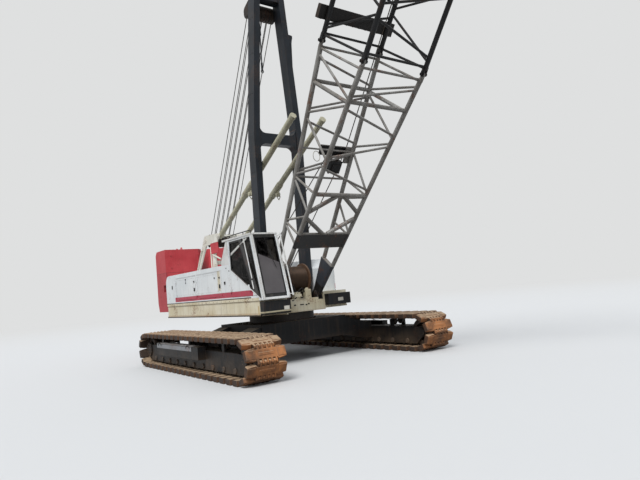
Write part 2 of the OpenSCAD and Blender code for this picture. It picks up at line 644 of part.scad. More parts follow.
module cab_shell() color("#e4e6e8") machine() {
    difference() {
        side_plate(cab_profile, cab_y, cab_w);
        side_plate([[cab_rear + cab_wall, deck_top + cab_wall],
            [screen_x(deck_top + cab_wall) - 45, deck_top + cab_wall],
            [screen_x(cab_top - cab_wall) - 45, cab_top - cab_wall],
            [cab_rear + cab_wall, cab_top - cab_wall]], cab_y + cab_wall, cab_w - 2 * cab_wall);
        side_plate(door_outline, cab_y - 1, cab_wall + 2);
        side_plate(quarter, cab_y - 1, cab_wall + 2);
        side_plate(inner_window, cab_in - cab_wall - 1, cab_wall + 2);
        screen_slab(100, -40, screen_low, screen_high, screen_y[0], screen_y[1]);
        block([cab_rear - 1, rear_window_y[0], rear_window_z[0]],
            [cab_rear + cab_wall + 1, rear_window_y[1], rear_window_z[1]]);
    }
    for (z = cab_hinges) panel_knuckles(cab_rear + 50 + hinge_in, z);
}
pane_t = 8;
module cab_glass() color("#20262a", 0.5) machine() {
    side_plate(inset(quarter, seat_gap), cab_y + 15, pane_t);
    side_plate(inset(inner_window, seat_gap), cab_in - 23, pane_t);
    screen_slab(26, 18, screen_low + seat_gap, screen_high - seat_gap, screen_y[0] + seat_gap,
        screen_y[1] - seat_gap);
    block([cab_rear + 15, rear_window_y[0] + seat_gap, rear_window_z[0] + seat_gap],
        [cab_rear + 15 + pane_t, rear_window_y[1] - seat_gap, rear_window_z[1] - seat_gap]);
}
module cab_door() color("#e4e6e8") machine() {
    difference() {
        side_plate(inset(door_outline, door_gap), cab_y, cab_wall);
        side_plate(door_window, cab_y - 1, cab_wall + 2);
    }
    for (z = cab_hinges) door_knuckle(cab_rear + 50 + hinge_in, z);
    translate([1180, cab_y, 1900]) rotate([0, -30, 0]) block([-20, -35, -90], [20, -15, 90]);
    translate([1180, cab_y, 1900]) rotate([0, -30, 0]) for (z = [-80, 60])
        block([-20, -20, z], [20, 1, z + 20]);
}
module door_glass() color("#20262a", 0.5) machine()
    side_plate(inset(door_window, seat_gap), cab_y + 15, pane_t);
module seat() color("#2a2a2c") machine() translate([650, cab_y + cab_w / 2, deck_top + cab_wall + seat_gap]) {
    block([-230, -230, 250], [260, 230, 400]);
    side_plate([[-260, 380], [-150, 380], [-200, 1050], [-300, 1050]], -220, 440);
    cylinder(h = 251, r = 90, $fn = 32);
}
module console() color("#2a2a2c") machine() translate([0, 0, deck_top + cab_wall + seat_gap])
    side_plate([[1180, 0], [1420, 0], [1400, 420], [1300, 560], [1120, 480]], cab_y + 120, 160);

// Mast: two legs that run parallel up to the cross member and close in above it
mast_head_from = mast_len - 100;
function leg_y(s) = s < cross_at ? foot_y
    : foot_y + (head_leg_y - foot_y) * (min(s, mast_head_from) - cross_at) / (mast_head_from - cross_at);
leg_half = leg_t / 2;
leg_end = mast_len + 150;
module mast_leg() difference() {
    union() {
        translate([0, 0, -leg_d / 2]) linear_extrude(leg_d) polygon([[160, foot_y - 50],
            [330, foot_y - leg_half], [cross_at, foot_y - leg_half],
            [mast_head_from, head_leg_y - leg_half], [leg_end, head_leg_y - leg_half],
            [leg_end, head_leg_y + leg_half], [mast_head_from, head_leg_y + leg_half],
            [cross_at, foot_y + leg_half], [330, foot_y + leg_half], [160, foot_y + 50]]);
        translate([0, foot_y, 0]) cross_bar(110, 0, 100);
        block([0, foot_y - 50, -110], [200, foot_y + 50, 110]);
    }
    translate([0, foot_y, 0]) cross_bar(45 + run, 0, 300);
}
module mast_legs() color("#1b2026") mast_frame() both_sides() mast_leg();
// Cross member with rounded corners, and a shorter plate near the head, both cut to the legs
cross_half = 220;
fillet_r = 200;
function leg_in(s) = leg_y(s) - leg_half - seat_gap;
module between_legs(low, high) translate([0, 0, -leg_d / 2 + 20]) linear_extrude(leg_d - 40)
    polygon([[low, leg_in(low)], [max(low, min(cross_at, high)), leg_in(max(low, cross_at))],
        [high, leg_in(high)], [high, -leg_in(high)],
        [max(low, min(cross_at, high)), -leg_in(max(low, cross_at))], [low, -leg_in(low)]]);
module fillet_cut(s, turn) both_sides() translate([s, foot_y - leg_half - fillet_r, -leg_d]) {
    cylinder(h = 2 * leg_d, r = fillet_r, $fn = 48);
    translate([min(0, turn * fillet_r), -foot_y, 0]) cube([fillet_r, foot_y, 2 * leg_d]);
}
module mast_cross_member() color("#1b2026") mast_frame() {
    difference() {
        between_legs(cross_at - cross_half - fillet_r + 20, cross_at + cross_half + fillet_r - 20);
        fillet_cut(cross_at - cross_half - fillet_r, -1);
        fillet_cut(cross_at + cross_half + fillet_r, 1);
        for (y = [-1, 1], s = [-1, 1]) translate([cross_at + s * (cross_half + fillet_r) - fillet_r,
            -(foot_y - leg_half - fillet_r), -leg_d]) cube([2 * fillet_r, 2 * (foot_y - leg_half - fillet_r), 2 * leg_d]);
    }
    between_legs(block_at + 150, mast_head_from);
}
cheek_y = 415;
module mast_head() color("#22262a") mast_frame() {
    translate([block_at, 0, block_out]) {
        sheave_row();
        cross_bar(60 - run, 0, 2 * cheek_y + 40);
    }
    both_sides() side_plate(concat([[block_at - 240, leg_d / 2 + seat_gap], [block_at + 240, leg_d / 2 + seat_gap]],
        arc_at([block_at, block_out], 130, 20, 160, 8)), cheek_y, 30);
}

// Boom stop: a tube with its rear eye, a thick sleeve and an end cap
module boom_stops() color("#b9b79f") machine() translate([stop_x, 0, stop_z])
    rotate([0, -stop_angle, 0]) both_sides() translate([0, -stop_y, 0]) difference() {
        union() {
            rotate([0, 90, 0]) rotate_extrude($fn = 32) polygon([[0, 120], [stop_r, 120],
                [stop_r, 1960], [stop_r + 22, 2000], [stop_r + 22, 2560], [stop_r, 2640],
                [stop_r, stop_len - 90], [stop_r + 10, stop_len - 80],
                [stop_r + 10, stop_len], [0, stop_len]]);
            cross_bar(85, 0, 60);
            block([0, -30, -60], [200, 30, 60]);
        }
        cross_bar(45 + run, 0, 200, 32);
    }

// Boom lattice: half width and half depth at s along the boom
function half_y(s) = s < section_len ? foot_y + (chord_y - foot_y) * s / section_len
    : s < 2 * section_len ? chord_y
    : chord_y + (head_y - chord_y) * (s - 2 * section_len) / section_len;
function half_z(s) = s < section_len ? foot_depth + base_slope * s
    : s < 2 * section_len ? chord_z
    : chord_z + (head_z - chord_z) * (s - 2 * section_len) / section_len;
function corner(s, side, face) = [s, side * half_y(s), face * half_z(s)];
// A tube between two chords: it bites into each and stops short of their centre lines
module lacing(p, q, r = lace_r) {
    across = norm([q[1] - p[1], q[2] - p[2]]);
    bite = (q - p) * lace_bite / across;
    bar(p + bite, q - bite, r);
}
// A tube from the middle of a face to a chord
module brace(p, q, r) bar(p, q - (q - p) * lace_bite / norm([q[1] - p[1], q[2] - p[2]]), r);
module strut(s, side, r = lace_r) lacing(corner(s, side, -1), corner(s, side, 1), r);
module tie(s, face, r = lace_r) lacing(corner(s, -1, face), corner(s, 1, face), r);
module ring(s, r) {
    for (side = [-1, 1]) strut(s, side, r);
    for (face = [-1, 1]) tie(s + 30, face, r);
}
module chords(from, to) for (side = [-1, 1], face = [-1, 1])
    bar(corner(from, side, face), corner(to, side, face), chord_r, 12);
// Zigzag on all four faces between the stations; turn says which pair of chords comes first
module zigzag(stations, turn, face_from = 0) for (i = [0 : len(stations) - 2]) {
    g = turn * (1 - i % 2 * 2);
    a = stations[i];
    b = stations[i + 1];
    for (side = [-1, 1]) lacing(corner(a + lace_gap, side, g * side),
        corner(b - lace_gap, side, -g * side));
    if (i >= face_from) for (face = [-1, 1]) lacing(corner(a + face_gap, g * face, face),
        corner(b - face_gap, -g * face, face));
}
function even(from, to, bays) = [for (i = [0 : bays]) from + (to - from) * i / bays];
// Section joints: single ears on the lower section, forks with their pins on the upper one
joint_cut = 90;
ear_r = 48;
ear_t = 40;
joint_pin_r = 28;
module ears(s) for (side = [-1, 1], face = [-1, 1]) difference() {
    side_plate(concat([[s - 160, face * half_z(s) - 40]], arc_at([s, face * half_z(s)], ear_r, -90, 90, 8),
        [[s - 160, face * half_z(s) + 40]]), side * half_y(s) - ear_t / 2, ear_t);
    translate([s, 0, face * half_z(s)]) cross_bar(joint_pin_r + run, side * half_y(s), 2 * ear_t, 24);
}
module forks(s) for (side = [-1, 1], face = [-1, 1]) {
    for (out = [ear_t / 2 + seat_gap, -ear_t / 2 - seat_gap - 26])
        side_plate(concat([[s + 160, face * half_z(s) + 40]],
            arc_at([s, face * half_z(s)], ear_r, 90, 270, 8), [[s + 160, face * half_z(s) - 40]]),
            side * half_y(s) + out, 26);
    translate([s, 0, face * half_z(s)]) cross_bar(joint_pin_r, side * half_y(s), 130, 24);
}
base_stations = [for (back = [4450, 4110, 3530, 2980, 2220, 1560, 850, 220]) section_len - back];
box_from = section_len - 4480;
box_to = section_len - 4080;
// Cover plate across the lower chords, with the thick cross tube and K braces above it
module base_front() {
    y = half_y(box_from) - 25;
    side_plate([[box_from, -half_z(box_from) - 30], [box_to, -half_z(box_to) - 30],
        [box_to, -half_z(box_to) + 30], [box_from, -half_z(box_from) + 30]], -y, 2 * y);
    tie(box_to, -1, 36);
    tie(section_len - 2990, -1, 50);
    for (side = [-1, 1]) {
        brace([box_to + 10, side * 70, -half_z(box_to)], corner(box_to + 470, side, -1), 50);
        brace([section_len - 3000, side * 70, -half_z(section_len - 3000)],
            corner(box_to + 600, side, -1), 50);
    }
}
// Rope guide on the left upper chord: a sloping plate, two ears and a roller
guide_s = section_len - 2400;
module rope_guide() {
    top = half_z(guide_s);
    side_plate([[guide_s - 200, half_z(guide_s - 200) + 30], [guide_s + 200, half_z(guide_s + 200) + 30],
        [guide_s + 200, half_z(guide_s + 200) + 60], [guide_s - 200, half_z(guide_s - 200) + 60]], 560, 250);
    for (y = [565, 785]) side_plate([[guide_s - 90, top + 40], [guide_s + 90, top + 60],
        [guide_s + 35, top + 210], [guide_s - 35, top + 210]], y, 20);
    translate([guide_s, 0, top + 160]) cross_bar(45, 685, 215, 24);
}
module boom_base() color("#77746c") boom_frame() {
    chords(foot_plate_end - 60, section_len - joint_cut);
    ears(section_len);
    zigzag(base_stations, 1, 3);
    for (side = [-1, 1]) {
        strut(base_stations[1], side);
        strut(base_stations[3], side);
    }
    tie(base_stations[3], 1);
    tie(base_stations[3] + 680, 1, 22);
    ring(base_stations[6], 45);
    ring(section_len - 150, lace_r);
    base_front();
    rope_guide();
    both_sides() difference() {
        side_plate([[-110, -45], [-45, -110], [60, -110],
            [foot_plate_end, -half_z(foot_plate_end) - 35], [foot_plate_end, half_z(foot_plate_end) + 35],
            [60, 110], [-45, 110], [-110, 45]], -foot_y - foot_w / 2, foot_w);
        cross_bar(50 + run, 0, 2000);
    }
}
module boom_insert() color("#2a2d30") boom_frame() {
    chords(section_len + joint_cut, 2 * section_len - joint_cut);
    forks(section_len);
    ears(2 * section_len);
    zigzag(even(section_len + 200, 2 * section_len - 150, 8), -1);
    ring(section_len + 120, lace_r);
    ring(2 * section_len - 220, lace_r);
    block([section_len + 400, -1020, chord_z + 35], [section_len + 680, 1000, chord_z + 150]);
    block([section_len + 420, -900, chord_z + 140], [section_len + 660, -560, chord_z + 330]);
}
head_from = tip_len - 900;
module boom_tip() color("#2a2d30") boom_frame() {
    chords(2 * section_len + joint_cut, head_from + 60);
    forks(2 * section_len);
    zigzag(even(2 * section_len + 150, head_from, 7), 1);
    ring(2 * section_len + 170, lace_r);
    both_sides() difference() {
        side_plate(concat([[head_from, -half_z(head_from) - 60], [tip_len - 400, -420]],
            arc_at([tip_len, 0], 150, -60, 50, 6), [[tip_len - 60, 420], [tip_len - 300, 520],
            [head_from, half_z(head_from) + 60]]), head_y - 20, 40);
        translate([tip_pin_s, 0, tip_pin_w]) cross_bar(jib_bore_r, 0, 3 * head_y);
    }
    translate([tip_len, 0, 0]) cross_bar(60 - run, 0, 2 * head_y + 60);
    translate([pendant_s, 0, pendant_w]) cross_bar(35 - run, 0, 2 * pendant_y + 60);
    block([head_from + 20, -head_y, half_z(head_from)], [head_from + 320, head_y, half_z(head_from) + 25]);
}
head_sheave_y = [-240, 0, 240];
module head_sheaves() color("#4a4642") boom_frame() for (y = head_sheave_y)
    translate([tip_len, y, 0]) rotate([-90, 0, 0]) rotate_extrude($fn = 64) polygon([
        [60 + run, -60], [110, -60], [110, -20], [sheave_r - 70, -20], [sheave_r, -40],
        [groove_r, -14], [groove_r, 14], [sheave_r, 40], [sheave_r - 70, 20], [110, 20],
        [110, 60], [60 + run, 60]]);
// Pendant: a bar with a socket at each end, an eye on the boom's pin and a pin of its own that
// stands just clear of the mast leg
eye_r = 90;
pin_in = head_leg_y + leg_half + 5;
pin_out = pendant_y + 60;
module pendants() color("#4c4a46") machine() translate([pendant_x, 0, pendant_z])
    rotate([0, -pendant_angle, 0]) both_sides() translate([0, -pendant_y, 0]) difference() {
        union() {
            bar([60, 0, 0], [pendant_len - 60, 0, 0], 19, 8);
            for (x = [70, pendant_len - 370]) bar([x, 0, 0], [x + 300, 0, 0], 38, 8);
            for (x = [0, pendant_len]) translate([x, 0, 0]) cross_bar(eye_r, 0, 30);
        }
        cross_bar(35 + run, 0, 100);
    }
module pendant_pins() color("#4c4a46") machine() translate([mast_tip_x, 0, mast_tip_z]) both_sides()
    cross_bar(35, (pin_in + pin_out) / 2, pin_out - pin_in);
// Hook block: two cheeks that hold one sheave, a cross head, and the hook on its shank
block_y = (head_sheave_y[0] + head_sheave_y[1]) / 2;
fall_half = (head_sheave_y[1] - head_sheave_y[0]) / 2;
block_sheave_z = -200;
block_groove_r = fall_half - hook_rope_r - seat_gap;
module hook_falls() color("#55504a") machine() for (y = [head_sheave_y[0], head_sheave_y[1]])
    translate([hook_x, y, tip_z - hook_drop + block_sheave_z])
        cylinder(h = hook_drop - block_sheave_z, r = hook_rope_r, $fn = 8);
hook_bowl = 110;
hook_z = -980;
hook_t = 90;
module hook_block() color("#3c3a36") machine() translate([hook_x, block_y, tip_z - hook_drop]) {
    for (x = [-82, 58]) cross_plate(concat([[-90, -740], [90, -740]],
        arc_at([0, block_sheave_z], 190, -10, 190, 14)), x, 24);
    translate([0, 0, block_sheave_z]) rotate([0, 90, 0]) {
        translate([0, 0, -hook_half]) cylinder(h = 2 * hook_half, r = 35 - run, $fn = 32);
        rotate_extrude($fn = 48) polygon([[35 + run, -45], [150, -45], [150, -32],
            [block_groove_r, -12], [block_groove_r, 12], [150, 32], [150, 45], [35 + run, 45]]);
    }
    block([-70, -85, -770], [70, 85, -620]);
    translate([0, 0, -800]) cylinder(h = 110, r = 60, $fn = 32);
    translate([0, hook_t / 2, hook_z]) rotate([90, 0, 0]) linear_extrude(hook_t) polygon(concat(
        [[-60, 200], [60, 200]], arc_at([0, 0], hook_bowl + 100, 60, -150, 16),
        arc_at([0, 0], hook_bowl, -150, 60, 16)));
}

carbody();
swing_bearing();
side_frames();
track_right();
track_left();
sprockets();
idlers();
bottom_rollers();
carrier_rollers();
deck();
foot_brackets();
front_box();
swing_ring();
house_roof();
house_right_side();
house_left_side();
bay_walls();
right_rear_door();
right_front_door();
left_rear_door();
left_front_door();
engine();
counterweight_lower();
counterweight_upper();
gantry();
gantry_sheaves();
hoist_drums();
cab_shell();
cab_glass();
cab_door();
door_glass();
seat();
console();
mast_legs();
mast_cross_member();
mast_head();
falls_upper();
falls_lower();
boom_stops();
boom_base();
boom_insert();
boom_tip();
head_sheaves();
union() {
    pendants();
    pendant_pins();
}
hook_falls();
hook_block();
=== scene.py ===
# Lattice-boom crawler crane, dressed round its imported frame
import math

import bmesh
import bpy
from mathutils import Matrix, Vector


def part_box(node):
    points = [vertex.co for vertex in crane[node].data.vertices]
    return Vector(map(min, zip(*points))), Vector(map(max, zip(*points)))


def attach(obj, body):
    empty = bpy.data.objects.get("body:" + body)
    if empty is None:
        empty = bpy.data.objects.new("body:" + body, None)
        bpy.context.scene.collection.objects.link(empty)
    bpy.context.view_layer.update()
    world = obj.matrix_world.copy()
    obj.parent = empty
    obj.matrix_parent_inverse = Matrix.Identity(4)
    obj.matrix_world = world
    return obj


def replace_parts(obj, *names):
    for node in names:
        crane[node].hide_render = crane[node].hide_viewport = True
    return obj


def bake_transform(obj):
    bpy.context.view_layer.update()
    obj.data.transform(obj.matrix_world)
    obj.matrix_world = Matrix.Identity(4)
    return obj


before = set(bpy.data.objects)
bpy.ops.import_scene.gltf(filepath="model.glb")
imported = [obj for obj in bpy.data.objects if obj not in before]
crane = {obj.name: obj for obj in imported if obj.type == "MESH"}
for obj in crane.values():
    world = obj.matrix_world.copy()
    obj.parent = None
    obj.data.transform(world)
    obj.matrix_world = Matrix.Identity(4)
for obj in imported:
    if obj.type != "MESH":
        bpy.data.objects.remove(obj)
scene = bpy.context.scene
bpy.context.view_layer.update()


# Camera
# The photograph was taken at eye height from in front of the crane and to its right, with the
# camera tilted a little to one side. Sizes are in mm from the swing axis, at ground level.
ring_low, ring_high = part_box("swing_ring")
swing_x = (ring_low[0] + ring_high[0]) / 2
x_way, y_way, z_way = Vector((1, 0, 0)), Vector((0, 1, 0)), Vector((0, 0, 1))


def here(x, y, z):
    """A point in mm from the swing axis, in the frame's metres."""
    return Vector((swing_x + x / 1000, y / 1000, z / 1000))


eye_yaw = math.radians(144.625)
eye_pitch = math.radians(5.089)
eye_roll = math.radians(5.151)
film_w = 36.0
photo_w = 640
focal_px = 536.367
ahead = Vector((math.cos(eye_yaw) * math.cos(eye_pitch), math.sin(eye_yaw) * math.cos(eye_pitch),
                math.sin(eye_pitch)))
level = Vector((math.sin(eye_yaw), -math.cos(eye_yaw), 0))
upright = level.cross(ahead)
right = level * math.cos(eye_roll) - upright * math.sin(eye_roll)
above = level * math.sin(eye_roll) + upright * math.cos(eye_roll)
camera = bpy.data.objects.new("camera", bpy.data.cameras.new("camera"))
camera.data.sensor_width = film_w
camera.data.lens = film_w * focal_px / photo_w
camera.data.clip_end = 900
camera.matrix_world = Matrix((right, above, -ahead)).transposed().to_4x4()
camera.location = here(12534, -7424, 1756)
scene.collection.objects.link(camera)
scene.camera = camera


# Carbody and swing bearing
# A welded steel box with two cross beams that carry the side frames, and the ball bearing on
# it. Black enamel, sprayed on mill plate: half matt, chipped to rust at its edges, with dried
# mud thrown up by the tracks.
def linear(colour):
    """An sRGB hex colour as linear RGBA."""
    parts = [int(colour[i:i + 2], 16) / 255 for i in (1, 3, 5)]
    return [c / 12.92 if c <= 0.04045 else ((c + 0.055) / 1.055) ** 2.4 for c in parts] + [1]


def add(tree, kind, inputs=(), **settings):
    """Adds a shader node. An input is a value, a hex colour, or the node or socket that feeds it."""
    node = tree.nodes.new("ShaderNode" + kind)
    for name, value in settings.items():
        setattr(node, name, value)
    for name, value in dict(inputs).items():
        if isinstance(value, bpy.types.Node):
            value = value.outputs[0]
        if isinstance(value, bpy.types.NodeSocket):
            tree.links.new(value, node.inputs[name])
        else:
            node.inputs[name].default_value = linear(value) if isinstance(value, str) else value
    return node


def blank(name):
    """An empty material, and the place of a surface point in the frame's metres."""
    material = bpy.data.materials.new(name)
    material.use_nodes = True
    tree = material.node_tree
    tree.nodes.clear()
    return material, tree, add(tree, "TexCoord").outputs["Object"]


def within(tree, place, low, high, soft, cuts=()):
    """A mask, 1 inside a box in mm with a soft edge. Each cut is a point and the way out."""
    low, high = here(*low), here(*high)
    off = add(tree, "VectorMath", {0: place, 1: (low + high) / 2}, operation="SUBTRACT")
    off = add(tree, "VectorMath", {0: off}, operation="ABSOLUTE")
    off = add(tree, "VectorMath", {0: off, 1: (high - low) / 2}, operation="SUBTRACT")
    sides = add(tree, "SeparateXYZ", {0: off}).outputs
    out = add(tree, "Math", {0: sides[0], 1: sides[1]}, operation="MAXIMUM")
    out = add(tree, "Math", {0: out, 1: sides[2]}, operation="MAXIMUM")
    for point, way in cuts:
        off = add(tree, "VectorMath", {0: place, 1: here(*point)}, operation="SUBTRACT")
        off = add(tree, "VectorMath", {0: off, 1: Vector(way).normalized()}, operation="DOT_PRODUCT")
        out = add(tree, "Math", {0: out, 1: off.outputs["Value"]}, operation="MAXIMUM")
    return add(tree, "MapRange", {"Value": out, "From Min": 0, "From Max": -soft / 1000})


def coated(tree, coat, layers):
    """A colour under layers of others, each one a mask and a colour."""
    for mask, colour in layers:
        coat = add(tree, "Mix", {0: mask, 6: coat, 7: colour}, data_type="RGBA").outputs[2]
    return coat


def rubbed(tree, facing, radius, least, most):
    """A normal rounded at the edges by a radius in metres, and a mask of the edges that rub."""
    soft = add(tree, "Bevel", {"Radius": radius}, samples=4)
    edge = add(tree, "VectorMath", {0: soft, 1: facing.outputs["Normal"]}, operation="DOT_PRODUCT")
    return soft, add(tree, "MapRange", {"Value": edge.outputs["Value"], "From Min": 0.985,
                                        "From Max": least, "To Max": most})


def enamel(name, paint, faded, marks=(), grime="#4a3b2d", rust="#6e3f24", rough=0.42, streaks=0.45,
           chips=0.5, specks=0.3, mud=0.0, dust=0.25, metal=0.0, grain=0.0, shine=0.5):
    """Sprayed enamel: faded patches, painted marks, run-down dirt, rust specks, chipped edges.
    Marks are (colour, low, high, soft[, cuts]). Mud is the height in metres that it reaches."""
    material, tree, place = blank(name)
    cloud = add(tree, "TexNoise", {"Vector": place, "Scale": 1.7, "Detail": 6, "Roughness": 0.6})
    cloud = add(tree, "MapRange", {"Value": cloud, "From Min": 0.36, "From Max": 0.64})
    layers = [(cloud, faded)] + [(within(tree, place, *spot), colour) for colour, *spot in marks]
    # Dirt runs down in streaks some 40 mm wide and a metre long
    run = add(tree, "Mapping", {"Vector": place, "Scale": (14, 14, 0.9)})
    run = add(tree, "TexNoise", {"Vector": run, "Scale": 1.0, "Detail": 7, "Roughness": 0.7})
    run = add(tree, "MapRange", {"Value": run, "From Min": 0.5, "From Max": 0.8, "To Max": streaks})
    facing = add(tree, "NewGeometry")
    up = add(tree, "SeparateXYZ", {0: facing.outputs["Normal"]}).outputs[2]
    settled = add(tree, "MapRange", {"Value": up, "From Min": 0.4, "From Max": 0.95, "To Max": dust})
    # Rust comes through in spots of 5 to 40 mm
    spots = add(tree, "TexNoise", {"Vector": place, "Scale": 26, "Detail": 9, "Roughness": 0.72})
    sparse = add(tree, "TexNoise", {"Vector": place, "Scale": 2.6, "Detail": 3})
    spot = add(tree, "Math", {0: spots, 1: sparse}, operation="MULTIPLY")
    spot = add(tree, "MapRange", {"Value": spot, "From Min": 0.31, "From Max": 0.37, "To Max": specks})
    layers += [(run, grime), (settled, "#8d8170"), (spot, rust)]
    if mud:
        height = add(tree, "SeparateXYZ", {0: place}).outputs[2]
        height = add(tree, "MapRange", {"Value": height, "From Min": mud, "From Max": 0.0})
        mask = add(tree, "Math", {0: height, 1: cloud}, operation="MULTIPLY")
        layers.append((mask, "#5a4a3a"))
    soft, edge = rubbed(tree, facing, 0.008, 0.87, 1.0)
    worn = add(tree, "Math", {0: edge, 1: spots}, operation="MULTIPLY")
    worn = add(tree, "MapRange", {"Value": worn, "From Min": 0.32, "From Max": 0.46, "To Max": chips})
    coat = coated(tree, paint, layers + [(worn, rust)])
    gloss = add(tree, "MapRange", {"Value": spots, "To Min": rough - 0.12, "To Max": rough + 0.3})
    # Plate buckles by a millimetre or two over half a metre, and grain is the casting's skin
    buckle = add(tree, "TexNoise", {"Vector": place, "Scale": 2.2, "Detail": 1})
    buckle = add(tree, "Bump", {"Strength": 0.25, "Distance": 0.012, "Height": buckle, "Normal": soft})
    skin = add(tree, "Bump", {"Strength": 0.15 + grain, "Distance": 0.002 + 0.004 * grain,
                              "Height": spots, "Normal": buckle})
    shader = add(tree, "BsdfPrincipled", {"Base Color": coat, "Roughness": gloss, "Metallic": metal,
                                          "Normal": skin, "Specular IOR Level": shine})
    add(tree, "OutputMaterial", {"Surface": shader})
    return material


def finish(material, *nodes):
    """Gives CAD nodes their finish."""
    for node in nodes:
        crane[node].data.materials.clear()
        crane[node].data.materials.append(material)


black_enamel = enamel("black_enamel", "#0e0f11", "#17181a", rust="#4b3122", mud=0.6, chips=0.3, dust=0.15,
                      shine=0.2)
finish(black_enamel, "carbody", "side_frames")
greasy_steel = enamel("greasy_steel", "#1d1a18", "#2c2622", rough=0.5, mud=0.8, metal=0.3, grain=0.3)
finish(greasy_steel, "swing_bearing", "swing_ring", "bottom_rollers", "carrier_rollers", "idlers",
       "sprockets")


def empty():
    """A new form to build in, in mm."""
    return bmesh.new()


def bolt(form, point, way, size):
    """A hexagon head on a washer, its height 0.7 of its half width across the corners."""
    turn = Vector(way).to_track_quat("Z", "X").to_matrix().to_4x4()
    for radius, low, high, sides in ((size * 1.5, 0, size * 0.2, 12), (size, 0, size * 0.9, 6)):
        place = Matrix.Translation(Vector(point)) @ turn @ Matrix.Translation((0, 0, (low + high) / 2))
        bmesh.ops.create_cone(form, cap_ends=True, segments=sides, radius1=radius, radius2=radius * 0.94,
                              depth=high - low, matrix=place)


def fit(name, form, body, material, smooth=35):
    """Makes a form in mm a named piece that rides on a body, or on none yet."""
    metres = Matrix.Translation(here(0, 0, 0)) @ Matrix.Scale(0.001, 4)
    bmesh.ops.transform(form, matrix=metres, verts=form.verts)
    bmesh.ops.recalc_face_normals(form, faces=form.faces)
    mesh = bpy.data.meshes.new(name)
    form.to_mesh(mesh)
    form.free()
    mesh.polygons.foreach_set("use_smooth", [True] * len(mesh.polygons))
    mesh.set_sharp_from_angle(angle=math.radians(smooth))
    piece = bpy.data.objects.new(name, mesh)
    mesh.materials.append(material)
    scene.collection.objects.link(piece)
    if body:
        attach(piece, body)
    return piece


def circle(centre, one, two, count, arc=360):
    """Points round a centre from the end of one half axis past the other's, or along an arc only."""
    turns = [math.radians(arc) * i / count for i in range(count if arc == 360 else count + 1)]
    return [Vector(centre) + Vector(one) * math.cos(turn) + Vector(two) * math.sin(turn) for turn in turns]


def bolt_circle(form, centre, radius, count, way, size, one=x_way, two=z_way):
    """Bolts round a centre, in the plane of two axes."""
    for point in circle(centre, one * radius, two * radius, count):
        bolt(form, point, way, size)


bolts = empty()
bearing_r, bearing_top = 900, 1000
bolt_circle(bolts, (0, 0, bearing_top), bearing_r, 40, z_way, 20, two=y_way)
fit("bearing_bolts", bolts, "undercarriage", greasy_steel)


# Side frames
# Welded box girders that hold the rollers and wheels, with cast bearing caps bolted on outside
# and a tread-plate step box between the tracks' runs. Black enamel; the caps are bare cast
# iron, greased and rusting.
frame_out = 245
track_y = 2400
track_z = 465
half_run = 2947.5
shoe_half = 440
hands = ((-1, "right"), (1, "left"))
roller_z = 240
roller_gap = 548.33


def block(form, low, high, chamfer):
    """A block between two corners, in any order, its edges chamfered."""
    low, high = Vector(map(min, low, high)), Vector(map(max, low, high))
    place = Matrix.Translation((low + high) / 2) @ Matrix.Diagonal((*(high - low), 1))
    made = bmesh.ops.create_cube(form, size=1, matrix=place)["verts"]
    edges = list({edge for vert in made for edge in vert.link_edges})
    bmesh.ops.bevel(form, geom=edges, offset=chamfer, segments=1, affect="EDGES")


def loft(form, outlines, closed=False):
    """A skin over matching outlines, with its two ends filled, or closed on itself."""
    rings = [[form.verts.new(point) for point in outline] for outline in outlines]
    for ring, on in zip(rings, rings[1:] + rings[:1] if closed else rings[1:]):
        for k in range(len(ring)):
            form.faces.new((ring[k - 1], ring[k], on[k], on[k - 1]))
    if not closed:
        form.faces.new(rings[0])
        form.faces.new(rings[-1])


def rod(form, start, end, radius, sides=12, taper=1.0):
    """A round bar between two points."""
    start, end = Vector(start), Vector(end)
    turn = (end - start).to_track_quat("Z", "X").to_matrix().to_4x4()
    bmesh.ops.create_cone(form, cap_ends=True, segments=sides, radius1=radius, radius2=radius * taper,
                          depth=(end - start).length, matrix=Matrix.Translation((start + end) / 2) @ turn)


def sweep(form, points, radius, sides=8, closed=False):
    """A bent bar or a rope along points."""
    points = [Vector(p) for p in points]
    hoops = []
    side = (points[1] - points[0]).orthogonal()
    for i, point in enumerate(points):
        before = points[i - 1] if i or closed else point
        after = points[(i + 1) % len(points)] if i + 1 < len(points) or closed else point
        way = (after - before).normalized()
        side = (side - way * side.dot(way)).normalized()
        hoops.append(circle(point, side * radius, way.cross(side) * radius, sides))
    loft(form, hoops, closed)


cap_iron = enamel("cast_cap_iron", "#35302b", "#4d4034", rust="#6e4326", rough=0.6, mud=0.9, grain=0.5)
light_lid = enamel("step_lid_paint", "#8b8e92", "#787a7c", rough=0.5, specks=0.5, dust=0.3)
for side, hand in hands:
    caps = empty()
    cap_y = side * (track_y + frame_out + 30)
    for x, radius, count, size in ((-half_run, 82, 8, 11), (half_run, 82, 8, 11), (-half_run, 160, 12, 14)):
        bolt_circle(caps, (x, cap_y, track_z), radius, count, y_way * side, size)
    for i in range(10):
        x = (i - 4.5) * roller_gap
        for out in (-1, 1):
            y = side * track_y + out * frame_out
            rod(caps, (x, y, roller_z), (x, y + out * 22, roller_z), 62, 24, 0.9)
            for dx in (-40, 40):
                for dz in (-40, 40):
                    bolt(caps, (x + dx, y + out * 20, roller_z + dz), y_way * out, 8)
    fit("roller_caps_" + hand, caps, "undercarriage", cap_iron)
    lid = empty()
    lip_y = side * (track_y + shoe_half - 1)
    block(lid, (-1752, side * (track_y + frame_out + 4), 688), (640, lip_y, 696), 2)
    block(lid, (-1752, side * (track_y + 433), 578), (640, lip_y, 692), 2)
    fit("step_lid_" + hand, lid, "undercarriage", light_lid)
    grips = empty()
    for x in (-1520, 430):
        sweep(grips, circle((x, lip_y - side, 640), x_way * 110, z_way * 60, 12, 180), 11)
    fit("step_grips_" + hand, grips, "undercarriage", black_enamel)


